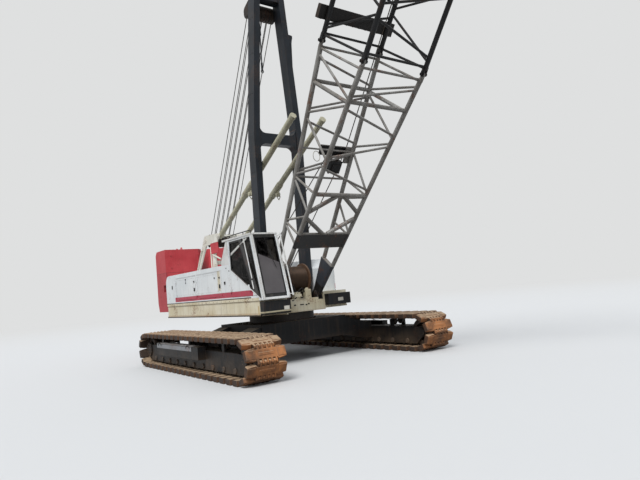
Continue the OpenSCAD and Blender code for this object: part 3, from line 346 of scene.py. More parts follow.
# Tracks
# Forty-six shoes a side, cast in manganese steel and pinned to each other through interlocking
# fingers. The cast skin has rusted to a dusty orange brown, lighter on the front turn, and dry soil
# sits in the gaps. The shoes' sides, facing across the track, and the inside of the loop are
# painted darker as shade, and their edges are lighter as rubbed steel and as a painted highlight.
shoe_count = 46
shoe_t = 120
pitch_r = track_z - shoe_t / 2
run_len = 2 * half_run
turn_len = math.pi * pitch_r
shoe_pitch = (2 * run_len + 2 * turn_len) / shoe_count
finger_w = 46
finger_gap = 100
finger_field = 225
knuckle_r = 50


def rusted_casting(name, rusted, dark, dusty, front_turn_colour):
    """Weathered manganese steel casting with dust on it and a lighter front turn; its sides and the
    loop's inside painted darker as shade, its edges lighter as rubbed wear and painted highlight.
    """
    material, tree, place = blank(name)
    cloud = add(tree, "TexNoise", {"Vector": place, "Scale": 3.1, "Detail": 8, "Roughness": 0.65})
    tone = add(tree, "MapRange", {"Value": cloud, "From Min": 0.38, "From Max": 0.62})
    # The cast skin has pits of 4 to 15 mm
    pits = add(tree, "TexNoise", {"Vector": place, "Scale": 60, "Detail": 8, "Roughness": 0.75})
    pit = add(tree, "MapRange", {"Value": pits, "From Min": 0.52, "From Max": 0.66, "To Max": 0.7})
    facing = add(tree, "NewGeometry")
    faces = add(tree, "SeparateXYZ", {0: facing.outputs["Normal"]}).outputs
    # Faces looking across the track, the shoes' sides, are darkened: painted shade.
    ends = add(tree, "Math", {0: faces[1]}, operation="ABSOLUTE")
    ends = add(tree, "MapRange", {"Value": ends, "From Min": 0.6, "From Max": 0.9, "To Max": 0.8})
    # The front turn is given a lighter orange brown.
    front = within(tree, place, (half_run + 60, -9000, -100), (9000, 9000, 1200), 300)
    front = add(tree, "Math", {0: front, 1: tone}, operation="MULTIPLY")
    # Between the runs and round the rear turn the steel is darkened: painted shade inside the loop.
    under = within(tree, place, (-9000, -9000, 95), (half_run, 9000, 790), 30)
    caked = add(tree, "TexNoise", {"Vector": place, "Scale": 9, "Detail": 6, "Roughness": 0.6})
    caked = add(tree, "Math", {0: faces[2], 1: caked}, operation="MULTIPLY")
    caked = add(tree, "MapRange", {"Value": caked, "From Min": 0.2, "From Max": 0.5, "To Max": 0.85})
    # Edges are lightened: rubbed steel, and a painted highlight.
    soft, edge = rubbed(tree, facing, 0.006, 0.9, 0.5)
    coat = coated(tree, rusted, ((tone, dark), (pit, "#3d2a1d"), (front, front_turn_colour), (under, "#3a2c22"),
                                 (caked, dusty), (ends, "#241b15"), (edge, "#a98a70")))
    skin = add(tree, "Bump", {"Strength": 0.6, "Distance": 0.004, "Height": pits, "Normal": soft})
    gloss = add(tree, "MapRange", {"Value": pits, "To Min": 0.55, "To Max": 0.95})
    shader = add(tree, "BsdfPrincipled", {"Base Color": coat, "Roughness": gloss, "Normal": skin})
    add(tree, "OutputMaterial", {"Surface": shader})
    return material


def loop_point(u):
    """A point of the track's pitch line in X and Z, at length u along it."""
    end, u = divmod(u % (2 * (run_len + turn_len)), run_len + turn_len)
    turn = max(0, u - run_len) / pitch_r
    point = Vector((min(u, run_len) - half_run + pitch_r * math.sin(turn), pitch_r * math.cos(turn)))
    return -point if end else point


def shoe_outline(tip, shrink):
    """Plan of a shoe, along the track and across it: five fingers in front and four behind."""
    root = shoe_pitch / 2 - 58 - shrink
    pad, heel = shoe_pitch * 0.4 - shrink, shoe_pitch * 0.31 - shrink
    half = finger_w / 2 - shrink
    corner = [(heel, -shoe_half + shrink), (pad, -shoe_half + 130), (pad, -finger_field - 12),
              (root, -finger_field - 12)]
    points = []
    for turn, count in ((1, 5), (-1, 4)):
        edge = list(corner)
        for k in range(count):
            y = (k - (count - 1) / 2) * finger_gap
            edge += [(root, y - half), (tip, y - half), (tip, y + half), (root, y + half)]
        edge += [(u, -y) for u, y in reversed(corner)]
        points += [(turn * u, turn * y) for u, y in edge]
    return points


def shoe(form, place):
    """One shoe: the fingered body in five layers, a pad at each end, the drive lug and a cross rib."""
    layers = []
    for out, shrink in ((-60, 6), (-50, 0), (-20, 0), (20, 0), (43, 0), (50, 6)):
        reach = math.sqrt(max(0, knuckle_r ** 2 - max(abs(out) - 6, 0) ** 2))
        tip = shoe_pitch / 2 + max(reach, 12)
        layers.append([place @ Vector((u, y, out)) for u, y in shoe_outline(tip, shrink)])
    loft(form, layers)
    for low, high in (((-86, -shoe_half + 8, 40), (86, -250, 60)),
                      ((-86, 250, 40), (86, shoe_half - 8, 60)),
                      ((-42, -60, -104), (42, 60, -52)),
                      ((-30, -170, 44), (30, 170, 58))):
        made = len(form.verts)
        block(form, low, high, 7)
        form.verts.ensure_lookup_table()
        bmesh.ops.transform(form, matrix=place, verts=form.verts[made:])


track_steel = rusted_casting("rusted_manganese_casting", "#6b4b33", "#473225", "#b0977a", "#b87a4a")
for side, hand in hands:
    loop = empty()
    for i in range(shoe_count):
        start, end = loop_point(i * shoe_pitch), loop_point((i + 1) * shoe_pitch)
        middle = 0.7 * (start + end) / 2 + 0.3 * loop_point((i + 0.5) * shoe_pitch)
        along = (end - start).normalized()
        outward = Vector((-along.y, along.x))
        place = Matrix(((along.x, 0, outward.x, middle.x), (0, 1, 0, side * track_y),
                        (along.y, 0, outward.y, middle.y + track_z), (0, 0, 0, 1)))
        shoe(loop, place)
    piece = fit("track_shoes_" + hand, loop, "undercarriage", track_steel)
    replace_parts(piece, "track_" + hand)


# Revolving deck
# A welded steel weldment with a channel beam down each side. Cream enamel, thin and stained:
# rust has come up along its lower edge and seams, and the pins' brackets on it are black. Below
# the rust on the near side's lower edge a dark band is painted shadow, and black blocks on the
# front are painted shade where its slots show dark.
deck_top = 1470
house_side = 1495
boom_foot = Vector((786, 0, 1625))
mast_foot = Vector((337, 0, 1798))
cream_enamel = enamel(
    "stained_cream_enamel", "#e2dcc6", "#d3c8a9", grime="#8d7650", rust="#7d4d2c", rough=0.55,
    streaks=0.55, specks=0.75, chips=0.7, dust=0.2,
    marks=(("#8a6a47", (-4640, -1500, 1262), (1560, -1470, 1305), 14),
           # The next mark, a dark band along the near side's lower edge, is painted shadow.
           ("#2b231c", (-4660, -1510, 1200), (1580, -1440, 1266), 8),
           ("#a39a84", (-262, -1500, 1290), (-244, -1470, 1600), 6),
           ("#5f4a38", (-700, -1500, 1228), (-560, -1440, 1290), 40),
           ("#6d5138", (420, -1500, 1235), (620, -1440, 1300), 50),
           ("#c2ab74", (1430, -1500, 1240), (1520, -1440, 1480), 30),
           ("#8a5c3a", (945, -780, 1195), (960, 780, 1240), 30),
           ("#d8cfb2", (925, -750, 1170), (960, 250, 1330), 20)))
finish(cream_enamel, "deck")
box_enamel = enamel(
    "front_box_enamel", "#101216", "#191b1f", rust="#4b3122", chips=0.4, shine=0.25,
    marks=(("#b9b094", (1500, -1500, 1296), (1760, -700, 1332), 3),
           ("#17140f", (1500, -1500, 1240), (1760, -700, 1297), 3)))
finish(box_enamel, "front_box")
bracket_enamel = enamel("bracket_enamel", "#1b1c1e", "#2c2d2f", rust="#5c4130", chips=0.6, rough=0.38)
finish(bracket_enamel, "foot_brackets")
# Thin black blocks on the deck's front are painted shade where its slots show dark.
nose_slot_shades = empty()
for y, z, half_y, half_z in ((264, 1382, 22, 16), (55, 1378, 60, 12), (191, 1366, 26, 15),
                             (-157, 1377, 30, 18), (-203, 1500, 34, 11), (-420, 1400, 24, 14)):
    block(nose_slot_shades, (956, y - half_y, z - half_z), (962, y + half_y, z + half_z), 2)
fit("nose_slot_shades", nose_slot_shades, "upperworks", black_enamel)
pale_plate = enamel("pale_plate_paint", "#d9d6cb", "#c9c4b6", rough=0.5)
plates = empty()
block(plates, (1741, -950, 1330), (1745, -800, 1420), 1)
block(plates, (1136, 1080, 1380), (1140, 1250, 1470), 1)
fit("box_plates", plates, "upperworks", pale_plate)
deck_bolts = empty()
for side, front in ((-1, 1500), (1, 900)):
    for x in range(-4500, front, 250):
        bolt(deck_bolts, (x, side * house_side, 1625), y_way * side, 11)
        bolt(deck_bolts, (x + 120, side * house_side, 1255), y_way * side, 9)
fit("deck_bolts", deck_bolts, "upperworks", cream_enamel)
foot_nuts = empty()
for side in (-1, 1):
    for foot, radius in ((boom_foot, 62), (mast_foot, 56)):
        for y, out in ((579, -side), (741, side)):
            face = foot + y_way * side * y
            rod(foot_nuts, face, face + y_way * out * 14, radius, 24, 0.92)
            bolt(foot_nuts, face + Vector((radius + 22, 0, -8)), y_way * out, 9)
fit("foot_pin_collars", foot_nuts, "upperworks", greasy_steel)


# House
# Two machinery houses of folded sheet steel with hinged doors. White gloss enamel gone slightly
# grey, with a crimson stripe along the sills, rubber-edged doors and black latches. A dark line
# along the foot of each side, carried on to the cab, is painted shadow above the deck.
stripe = "#b01f41"
stripe_low, stripe_high = 1713, 1851
side_marks = []
for side in (-1, 1):
    low_y, high_y = sorted((side * 1480, side * 1600))
    nose = 1300 if side < 0 else 600
    end = (((1310, 0, stripe_high), (0.97, 0, 0.25)),) if side < 0 else ()
    side_marks += [(stripe, (-3860, low_y, stripe_low), (nose, high_y, stripe_high), 3, end),
                   # This dark line along the foot of the side is painted shadow.
                   ("#1d1d1f", (-4640, low_y, 1655), (1185, high_y, 1688), 3),
                   ("#a7aba9", (-3862, low_y, stripe_high + 2), (nose, high_y, stripe_high + 8), 2, end),
                   ("#d2cbb5", (-640, low_y, 1905), (-470, high_y, 2437), 10),
                   ("#f0f0ec", (-470, low_y, 1905), (-432, high_y, 2437), 5)]
white_enamel = enamel("white_gloss_enamel", "#e9edee", "#dce1e3", marks=side_marks, grime="#8a8375",
                      rust="#77513a", rough=0.34, streaks=0.3, specks=0.3, chips=0.4, dust=0.15)
finish(white_enamel, "house_roof", "house_right_side", "house_left_side", "bay_walls", "right_rear_door",
       "right_front_door", "left_rear_door", "left_front_door")
black_rubber = enamel("black_rubber", "#151516", "#202021", rough=0.7, streaks=0.1, specks=0.05,
                      chips=0.0)


def inset(outline, d):
    """An outline whose points run anticlockwise, moved inwards by d."""
    made = []
    for before, point, after in zip(outline[-1:] + outline[:-1], outline, outline[1:] + outline[:1]):
        one = (Vector(point) - Vector(before)).normalized()
        two = (Vector(after) - Vector(point)).normalized()
        made.append(Vector(point) + d * (two - one) / one.cross(two))
    return made


def collar(form, outline, width, low, high):
    """A flat frame on an outline in X and Z, width wide inwards, from one Y to another."""
    inner = inset(outline, width)
    edges = ((outline, low), (inner, low), (inner, high), (outline, high))
    loft(form, [[(x, y, z) for x, z in points] for points, y in edges], closed=True)


def frame_of(x0, x1, z0, z1):
    """A rectangle's outline, anticlockwise."""
    return [(x0, z0), (x1, z0), (x1, z1), (x0, z1)]


door_rows = ((-3750, -2150, "rear"), (-2050, -400, "front"))
for side, hand in hands:
    face = side * house_side
    for rear, front, row in door_rows:
        body = hand + "_" + row + "_door"
        lip = empty()
        collar(lip, frame_of(rear + 9, front - 9, 1759, 2428), 14, face, face + side * 3)
        collar(lip, frame_of(rear + 60, front - 150, 1900, 2370), 6, face, face + side * 2)
        fit("door_lip_" + hand + "_" + row, lip, body, white_enamel)
        latch = empty()
        block(latch, (front - 150, face, 1985), (front - 70, face + side * 16, 2085), 8)
        knobs = [(front - 110, 2260, 22, 26)]
        if row == "rear":
            knobs += [(-2915, 2360, 14, 26), (-2915, 2255, 14, 20)]
            block(latch, (-2921, face, 2255), (-2909, face + side * 6, 2360), 2)
        else:
            knobs.append((-829, 2269, 14, 24))
        for x, z, height, radius in knobs:
            rod(latch, (x, face, z), (x, face + side * height, z), radius, 20, 0.8)
        fit("door_latch_" + hand + "_" + row, latch, body, black_rubber)
    fixed = empty()
    block(fixed, (-4105, face, 2125), (-4040, face + side * 14, 2235), 10)
    rod(fixed, (-187, face, 2108), (-187, face + side * 26, 2108), 34, 20, 0.7)
    block(fixed, (-215, face, 2060), (-160, face + side * 20, 2075), 3)
    for x, z in ((99, 2388), (-65, 2467)):
        rod(fixed, (x, face, z), (x, face + side * 10, z), 16, 16, 0.8)
    fit("house_catches_" + hand, fixed, "upperworks", black_rubber)
roof_seams = empty()
for x in (-3750, -2960, -2295):
    block(roof_seams, (x - 12, -1450, 2555), (x + 12, 1450, 2563), 2)
for side in (-1, 1):
    for x in range(-4200, 100, 300):
        bolt(roof_seams, (x, side * 1475, 2557), (0, 0, 1), 8)
fit("roof_seams", roof_seams, "upperworks", white_enamel)
engine_enamel = enamel("engine_enamel", "#4c4c49", "#3d3a35", rough=0.5, streaks=0.5, dust=0.5)
finish(engine_enamel, "engine")


# Counterweight
# One low steel-skinned slab on the deck's arms and two halves on top of it, filled with scrap
# and concrete. Red enamel, chalked by the sun, with painted shade that darkens its near side below
# the halves, a line along the joint under their overhang and two patches at its front corners.
# Of the marks, the darker near side, the line at the joint and the near-black patches are painted shade.
red_enamel = enamel("chalked_red_enamel", "#b8353d", "#c6474d", grime="#6b2a2c", rust="#6e3325", rough=0.5,
                    streaks=0.3, specks=0.25, chips=0.6, dust=0.2,
                    marks=(("#9c2f39", (-5660, -1460, 1400), (-4680, -1400, 2690), 20),
                           ("#5f1f24", (-5660, -1460, 2684), (-4680, 1460, 2697), 3),
                           ("#1d1213", (-4990, -1449, 2060), (-4600, -1325, 2300), 6),
                           ("#1d1213", (-4990, 1325, 2060), (-4600, 1449, 2300), 6)))
finish(red_enamel, "counterweight_lower", "counterweight_upper")
lugs = empty()
for side in (-1, 1):
    for x in (-5380, -4960):
        block(lugs, (x - 70, side * 780 - 14, 3445), (x + 70, side * 780 + 14, 3475), 4)
        sweep(lugs, circle((x, side * 780, 3470), x_way * 55, z_way * 62, 10, 180), 15, 10)
    for z in (2010, 2480, 2850, 3250):
        for y in (1250, 300):
            bolt(lugs, (-4695, side * y, z), x_way, 22)
fit("weight_lugs", lugs, "upperworks", red_enamel)


# Gantry
# Two steel side frames on the roof that hold the boom hoist's lower sheaves and the boom stops'
# feet. Cream-white enamel with rust at the welds, and a red guard plate on the near side.
gantry_enamel = enamel("gantry_enamel", "#e4e3da", "#d1cebf", grime="#7b6c56", rust="#7a4e33", rough=0.48,
                       streaks=0.5, specks=0.6, chips=0.7)
finish(gantry_enamel, "gantry")
gantry_at = Vector((-3440, 0, 3560))
stop_foot = Vector((-2530, 0, 3600))
guard = empty()
block(guard, (-3050, -566, 3100), (-2500, -546, 3430), 4)
fit("gantry_guard", guard, "upperworks", red_enamel)
gantry_kit = empty()
block(gantry_kit, (-3060, -570, 3430), (-2490, -544, 3470), 4)
pipe_y = -560
for x0, z0, x1, z1, radius in ((-2900, 3070, -2350, 2890, 26), (-3040, 2580, -3040, 3330, 22),
                               (-3750, 3300, -4030, 2910, 24), (-4030, 2910, -4270, 2590, 24)):
    rod(gantry_kit, (x0, pipe_y, z0), (x1, pipe_y, z1), radius)
for side in (-1, 1):
    for x in (-4370, -4140, -3030, -2730):
        for y in (470, 575):
            bolt(gantry_kit, (x, side * y, 2577), z_way, 13)
    for pin in (stop_foot, gantry_at):
        rod(gantry_kit, pin + y_way * side * 541, pin + y_way * side * 556, 70, 24, 0.9)
        bolt_circle(gantry_kit, pin + y_way * side * 555, 48, 6, y_way * side, 8)
fit("gantry_fittings", gantry_kit, "upperworks", gantry_enamel)
finish(greasy_steel, "gantry_sheaves", "mast_head")


# Wire ropes
# Six-strand steel wire rope, 22 and 26 mm, laid round a core and greased. The grease has held
# brown dust, so it is dull, with a steel glint on the strands' crowns. The lay is drawn coarser
# than it is, so that it shows.
fall_count = 10
fall_pitch = 80
fall_r = 11
fall_side = 201.3
fall_groove_r = 201
fall_len = 4500
strands = 6
lay_len = 240


def rope_steel(name, oiled, dry):
    """Greased wire rope: dusty grease in the grooves, rubbed steel on top."""
    material, tree, place = blank(name)
    cloud = add(tree, "TexNoise", {"Vector": place, "Scale": 45, "Detail": 4})
    cloud = add(tree, "MapRange", {"Value": cloud, "From Min": 0.35, "From Max": 0.65})
    coat = coated(tree, oiled, ((cloud, dry),))
    shader = add(tree, "BsdfPrincipled", {"Base Color": coat, "Roughness": 0.5, "Metallic": 0.5})
    add(tree, "OutputMaterial", {"Surface": shader})
    return material


def laid_rope(form, start, end, radius, step=16):
    """A taut rope with its strands twisted round it."""
    start, end = Vector(start), Vector(end)
    way = (end - start).normalized()
    side = way.orthogonal().normalized()
    over = way.cross(side)
    length = (end - start).length
    count = int(length / step)
    stars = []
    for i in range(count + 1):
        u = length * i / count
        star = []
        for k in range(2 * strands):
            turn = math.tau * (k / (2 * strands) + u / lay_len)
            reach = radius * (1.0 if k % 2 else 0.8)
            star.append(start + way * u + (side * math.cos(turn) + over * math.sin(turn)) * reach)
        stars.append(star)
    loft(form, stars)


wire_rope = rope_steel("greased_wire_rope", "#26221d", "#453d33")
head_at = Vector((169, 0, 9511))
fall_way = (head_at - gantry_at).normalized()
fall_over = Vector((-fall_way.z, 0, fall_way.x))
for name, body, foot, start, radius in (("falls_lower", "lower_falls", gantry_at, 0, fall_r),
                                        ("falls_upper", "upper_falls", head_at, -fall_len, fall_r + 0.6)):
    ropes = empty()
    for i in range(fall_count):
        y = (i - (fall_count - 1) / 2) * fall_pitch
        base = foot + fall_way * start + fall_over * fall_side * (i % 2 * 2 - 1) + y_way * y
        laid_rope(ropes, base, base + fall_way * fall_len, radius)
    piece = fit("rope_" + name, ropes, body, wire_rope, smooth=60)
    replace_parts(piece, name)
for name, body, centre, flip in (("gantry_sheave_ropes", "upperworks", gantry_at, -1),
                                 ("mast_sheave_ropes", "mast", head_at, 1)):
    turns = empty()
    for i in range(fall_count):
        y = (i - (fall_count - 1) / 2) * fall_pitch
        sweep(turns, circle(centre + y_way * y, fall_over * fall_groove_r, fall_way * flip * fall_groove_r,
                            16, 180), fall_r)
    fit(name, turns, body, wire_rope, smooth=60)


# Winches
# Three steel drums with bolted flanges between side plates, brown with old grease and rust, and
# wound with hoist rope. The swing gearbox and a valve block with its hoses stand on the deck in
# front of them.
winch_steel = enamel("rusted_winch_steel", "#54402f", "#6b4a33", grime="#2b221b", rust="#7d4a29", rough=0.6,
                     streaks=0.5, specks=0.7, metal=0.2, grain=0.4)
finish(winch_steel, "hoist_drums")
drum_rope = rope_steel("rusty_drum_rope", "#231c17", "#5a4433")
drums = ((-1500, 1930, 540), (-550, 1930, 540), (480, 2050, 460))
rope_d = 26
drum_rope_r = 322
for number, (x, z, half) in enumerate(drums):
    wound = empty()
    count = int((2 * half - 84) / rope_d)
    profile = []
    for i in range(count):
        y = (i - (count - 1) / 2) * rope_d
        profile += [(y - 13, 0), (y - 9, 9), (y, 13), (y + 9, 9)]
    profile.append((profile[-1][0] + 4, 0))
    loft(wound, [circle((x, y, z), x_way * (drum_rope_r + rise), z_way * (drum_rope_r + rise), 48)
                 for y, rise in profile])
    fit("wound_rope_" + str(number + 1), wound, "upperworks", drum_rope, smooth=60)
    studs = empty()
    for side in (-1, 1):
        bolt_circle(studs, (x, side * half, z), 362, 12, y_way * side, 13)
        rod(studs, (x, side * (half + 50), z), (x, side * (half + 74), z), 88, 24, 0.9)
    fit("drum_studs_" + str(number + 1), studs, "upperworks", winch_steel)
gearbox = empty()
for low, high, radius, sides, taper in ((0, 30, 178, 32, 1), (30, 310, 150, 32, 1), (310, 345, 168, 32, 1),
                                        (345, 520, 92, 24, 0.92)):
    rod(gearbox, z_way * low, z_way * high, radius, sides, taper)
block(gearbox, (-80, -72, 390), (-20, 72, 490), 8)
for z, radius in ((30, 160), (345, 155)):
    bolt_circle(gearbox, (0, 0, z), radius, 12, z_way, 9, two=y_way)
bmesh.ops.translate(gearbox, vec=(720, -330, deck_top), verts=gearbox.verts)
fit("swing_gearbox", gearbox, "upperworks", winch_steel)
valves = empty()
block(valves, (660, -90, deck_top), (860, 190, 1500), 4)
block(valves, (690, -60, 1500), (830, 160, 1650), 8)
for y in (-30, 30, 90, 140):
    rod(valves, (760, y, 1650), (760, y, 1700), 20, 12)
    rod(valves, (830, y, 1570), (862, y, 1570), 16, 6)
block(valves, (650, 300, deck_top), (820, 470, 1760), 16)
rod(valves, (735, 385, 1760), (735, 385, 1800), 46, 20, 0.9)
fit("valve_block", valves, "upperworks", cream_enamel)
hoses = empty()
for start, end, lean, rise in (((760, -30, 1700), (668, -400, 1905), 60, 230),
                               ((760, 30, 1700), (668, -262, 1925), 40, 300),
                               ((760, 90, 1700), (735, 300, 1690), 90, 190),
                               ((760, 140, 1700), (560, 430, 1560), 30, 120),
                               ((862, -30, 1570), (870, -420, 1490), 90, -60),
                               ((862, 90, 1570), (880, 430, 1490), 70, -70)):
    bend = (Vector(start) + Vector(end)) / 2 + Vector((lean, 0, rise))
    sweep(hoses, [Vector(start).lerp(bend, i / 16).lerp(bend.lerp(Vector(end), i / 16), i / 16)
                  for i in range(17)], 17, 10)
fit("winch_hoses", hoses, "upperworks", black_rubber)


# Cab
# A welded steel cab, white outside and dark inside, with tinted safety glass in black rubber.
# The door's window and the raked windscreen fill its front; the lower windscreen is hazy.
cab_y = -house_side
cab_in = -780
screen_foot, screen_head = 1783, 1385
cab_sill, cab_top = 1594, 3190


def screen_x(z):
    """X of the raked front at a height."""
    return screen_foot + (screen_head - screen_foot) * (z - cab_sill) / (cab_top - cab_sill)


screen_way = Vector((cab_top - cab_sill, 0, screen_foot - screen_head)).normalized()
lining = (((screen_x(2400) - 20, 0, 2400), screen_way),)
black_side = (((screen_x(2400) - 78, 0, 2400), screen_way), ((220, 0, 2390), (-784, 0, -1500)))
# Of the house's marks the cab takes the first three, the painted shadow line among them.
cab_enamel = enamel("cab_enamel", "#e9edee", "#dce1e3", grime="#8a8375", rust="#77513a", rough=0.34,
                    streaks=0.3, specks=0.35, chips=0.5, dust=0.1,
                    marks=side_marks[:3] + [
                        ("#141415", (205, -1500, 1600), (1900, -1450, 3112), 3, black_side),
                        ("#141415", (1200, -1438, 1652), (1900, -853, 3148), 3),
                        ("#141415", (-100, -1440, 3100), (60, -830, 3112), 3),
                        ("#1f2023", (141, -1470, 1691), (1900, -805, 3160), 3, lining)])
finish(cab_enamel, "cab_shell", "cab_door")


def tinted(name, haze=()):
    """Tinted safety glass, a little dirty, with hazy patches."""
    material, tree, place = blank(name)
    dirt = add(tree, "TexNoise", {"Vector": place, "Scale": 7, "Detail": 6, "Roughness": 0.6})
    film = add(tree, "MapRange", {"Value": dirt, "From Min": 0.45, "From Max": 0.75, "To Max": 0.12})
    for low, high, soft, cuts, most in haze:
        mask = within(tree, place, low, high, soft, cuts)
        cloud = add(tree, "TexNoise", {"Vector": place, "Scale": 2.2, "Detail": 3})
        cloud = add(tree, "MapRange", {"Value": cloud, "From Min": 0.3, "From Max": 0.7,
                                       "To Min": most * 0.8, "To Max": most})
        mask = add(tree, "Math", {0: mask, 1: cloud}, operation="MULTIPLY")
        film = add(tree, "Math", {0: film, 1: mask}, operation="MAXIMUM")
    glass = add(tree, "BsdfPrincipled", {"Base Color": "#73706c", "Roughness": 0.04,
                                         "Transmission Weight": 1.0, "IOR": 1.1})
    dusty = add(tree, "BsdfPrincipled", {"Base Color": "#6c686a", "Roughness": 0.3})
    both = add(tree, "MixShader", {0: film, 1: glass, 2: dusty})
    add(tree, "OutputMaterial", {"Surface": both})
    return material


haze_cut = ((screen_x(2600), -1425, 2700), (0.1, 0.39, 0.92))
finish(tinted("tinted_safety_glass", (((1300, -1440, 1640), (1800, -830, 2900), 12, (haze_cut,), 0.75),)),
       "cab_glass")
finish(tinted("tinted_door_glass"), "door_glass")
door_window = [(220, 2400), (1330, 1820), (740, 3080), (220, 3080)]
quarter = [(1585, 1700), (1655, 1650), (1688, 1650), (1325, 3110), (870, 3110)]
inner_window = [(510, 2300), (1500, 1800), (1250, 3070), (510, 3070)]
seals = empty()
collar(seals, quarter, 22, cab_y - 4, cab_y + 14)
collar(seals, inner_window, 20, cab_in - 14, cab_in + 4)
fit("window_seals", seals, "upperworks", black_rubber)
door_seal = empty()
collar(door_seal, door_window, 22, cab_y - 4, cab_y + 14)
fit("door_seal", door_seal, "cab_door", black_rubber)


def on_screen(y, z, out):
    """A point of the raked front, out from it."""
    return Vector((screen_x(z), y, z)) + screen_way * out


def strip(form, y0, y1, z0, z1, out, thick):
    """A flat strip on the raked front."""
    corners = frame_of(y0, y1, z0, z1)
    loft(form, [[on_screen(y, z, off) for y, z in corners] for off in (out, out + thick)])


painted_trim = enamel("white_trim_enamel", "#e6e7e6", "#cfd0cc", grime="#6f675a", rust="#77513a",
                      rough=0.36, streaks=0.35, specks=0.6, chips=0.8, dust=0.1)
screen_seal = empty()
for edges in ((-1425, -1403, 1714, 3090), (-872, -850, 1714, 3090), (-1403, -872, 1714, 1736),
              (-1403, -872, 3068, 3090)):
    strip(screen_seal, *edges, -14, 18)
fit("screen_seal", screen_seal, "upperworks", black_rubber)
trim = empty()
for *edges, thick in ((-1493, -1444, 1600, 3188, 10), (-818, -778, 1610, 3188, 12),
                      (-1493, -778, 3150, 3188, 14), (-1493, -778, 1600, 1646, 12)):
    strip(trim, *edges, 1, thick)
block(trim, (-185, -1506, 3146), (1392, -1484, 3196), 4)
rear_plate = [(112, 2560), (112, 3146), (0, 3146), (-330, 2640), (-330, 2560)]
for y in (-1494, -1484):
    trim.faces.new([trim.verts.new((x, y, z)) for x, z in rear_plate])
trim.verts.ensure_lookup_table()
front_ring, back_ring = trim.verts[-10:-5], trim.verts[-5:]
for k in range(5):
    trim.faces.new((front_ring[k - 1], front_ring[k], back_ring[k], back_ring[k - 1]))
rail_foot, rail_head = Vector((1876, -756, 1650)), Vector((1500, -756, 3160))
rod(trim, rail_foot, rail_head, 17, 12)
for z in (1690, 2400, 3120):
    held = rail_foot.lerp(rail_head, (z - rail_foot.z) / (rail_head.z - rail_foot.z))
    rod(trim, held, on_screen(-790, z, -6), 9, 8)
fit("cab_trim", trim, "upperworks", painted_trim)
roof_rail = empty()
rail_y, rail_z = -1470, 3262
sweep(roof_rail, [(x, rail_y, z) for x, z in ((-170, 3192), (-170, rail_z - 20), (-150, rail_z),
                                              (1330, rail_z), (1350, rail_z - 20), (1350, 3186))], 12)
for x in (210, 590, 970):
    rod(roof_rail, (x, rail_y, 3186), (x, rail_y, rail_z), 10, 8)
fit("roof_rail", roof_rail, "upperworks", black_rubber)
post = empty()
rod(post, (1312, cab_y - 4, 2120), (1010, cab_y - 4, 3120), 15, 10)
rod(post, (1508, cab_y - 4, 1712), (1712, cab_y - 4, 1606), 10, 10)
fit("quarter_post", post, "upperworks", painted_trim)
sill = empty()
rod(sill, (214, cab_y - 4, 2390), (1484, cab_y - 4, 1727), 10, 10)
rod(sill, (1300, cab_y - 4, 2075), (1356, cab_y - 4, 1870), 14, 10)
fit("door_sill", sill, "cab_door", painted_trim)
wiper = empty()
rod(wiper, on_screen(-1180, 3080, 6), on_screen(-1180, 3080, 40), 20, 16)
rod(wiper, on_screen(-1180, 3075, 34), on_screen(-1050, 2560, 20), 6, 8, 0.7)
rod(wiper, on_screen(-1120, 2780, 8), on_screen(-990, 2330, 8), 7, 8)
fit("wiper", wiper, "upperworks", black_rubber)


# Cab inside
# A suspension seat in black vinyl over foam, welted at its edges, on a steel pedestal, and a
# moulded console with three control levers. The vinyl has a fine leather grain and a soft sheen.
def vinyl(name, colour, crease):
    """Embossed vinyl cloth over foam, its grain cells 2 mm across."""
    material, tree, place = blank(name)
    cells = add(tree, "TexVoronoi", {"Vector": place, "Scale": 400}, feature="F1")
    tone = add(tree, "TexNoise", {"Vector": place, "Scale": 6, "Detail": 4})
    coat = coated(tree, colour, ((tone, crease),))
    grain = add(tree, "Bump", {"Strength": 0.35, "Distance": 0.0006, "Height": cells})
    shader = add(tree, "BsdfPrincipled", {"Base Color": coat, "Roughness": 0.46, "Normal": grain,
                                          "Sheen Weight": 0.1})
    add(tree, "OutputMaterial", {"Surface": shader})
    return material


def cushion(name, middle, half, lean, channels):
    """A crowned pad that pulls in between its corners, with sewn channels and a welt."""
    form = empty()
    turn = Matrix.Translation(middle) @ Matrix.Rotation(lean, 4, "Y")
    steps = 20
    grid = {}

    def pulled(u, v, w):
        """A point of the pad, its sides drawn in between the corners."""
        across, along = half[0] * u * (1 - 0.05 * (1 - v * v)), half[1] * v * (1 - 0.05 * (1 - u * u))
        return turn @ Vector((across, along, half[2] * w))

    for top in (1, -1):
        for i in range(steps + 1):
            for j in range(steps + 1):
                u, v = 2 * i / steps - 1, 2 * j / steps - 1
                if top < 0 and max(abs(u), abs(v)) == 1:
                    grid[top, i, j] = grid[1, i, j]
                    continue
                crown = ((1 - u ** 6) * (1 - v ** 6)) ** 0.4
                sewn = 1 - 0.12 * sum(math.exp(-((v - c) / 0.05) ** 2) for c in channels) if top > 0 else 1
                grid[top, i, j] = form.verts.new(pulled(u, v, top * crown * sewn))
        for i in range(steps):
            for j in range(steps):
                form.faces.new((grid[top, i, j], grid[top, i + 1, j], grid[top, i + 1, j + 1],
                                grid[top, i, j + 1]))
    rim = [(i / 5 - 1, -1) for i in range(10)] + [(1, i / 5 - 1) for i in range(10)]
    sweep(form, [pulled(u, v, 0) for u, v in rim + [(-u, -v) for u, v in rim]], 5, 6, closed=True)
    piece = fit(name, form, "upperworks", seat_vinyl, smooth=60)
    piece.modifiers.new("round", "SUBSURF").levels = 1
    piece.modifiers["round"].render_levels = 1


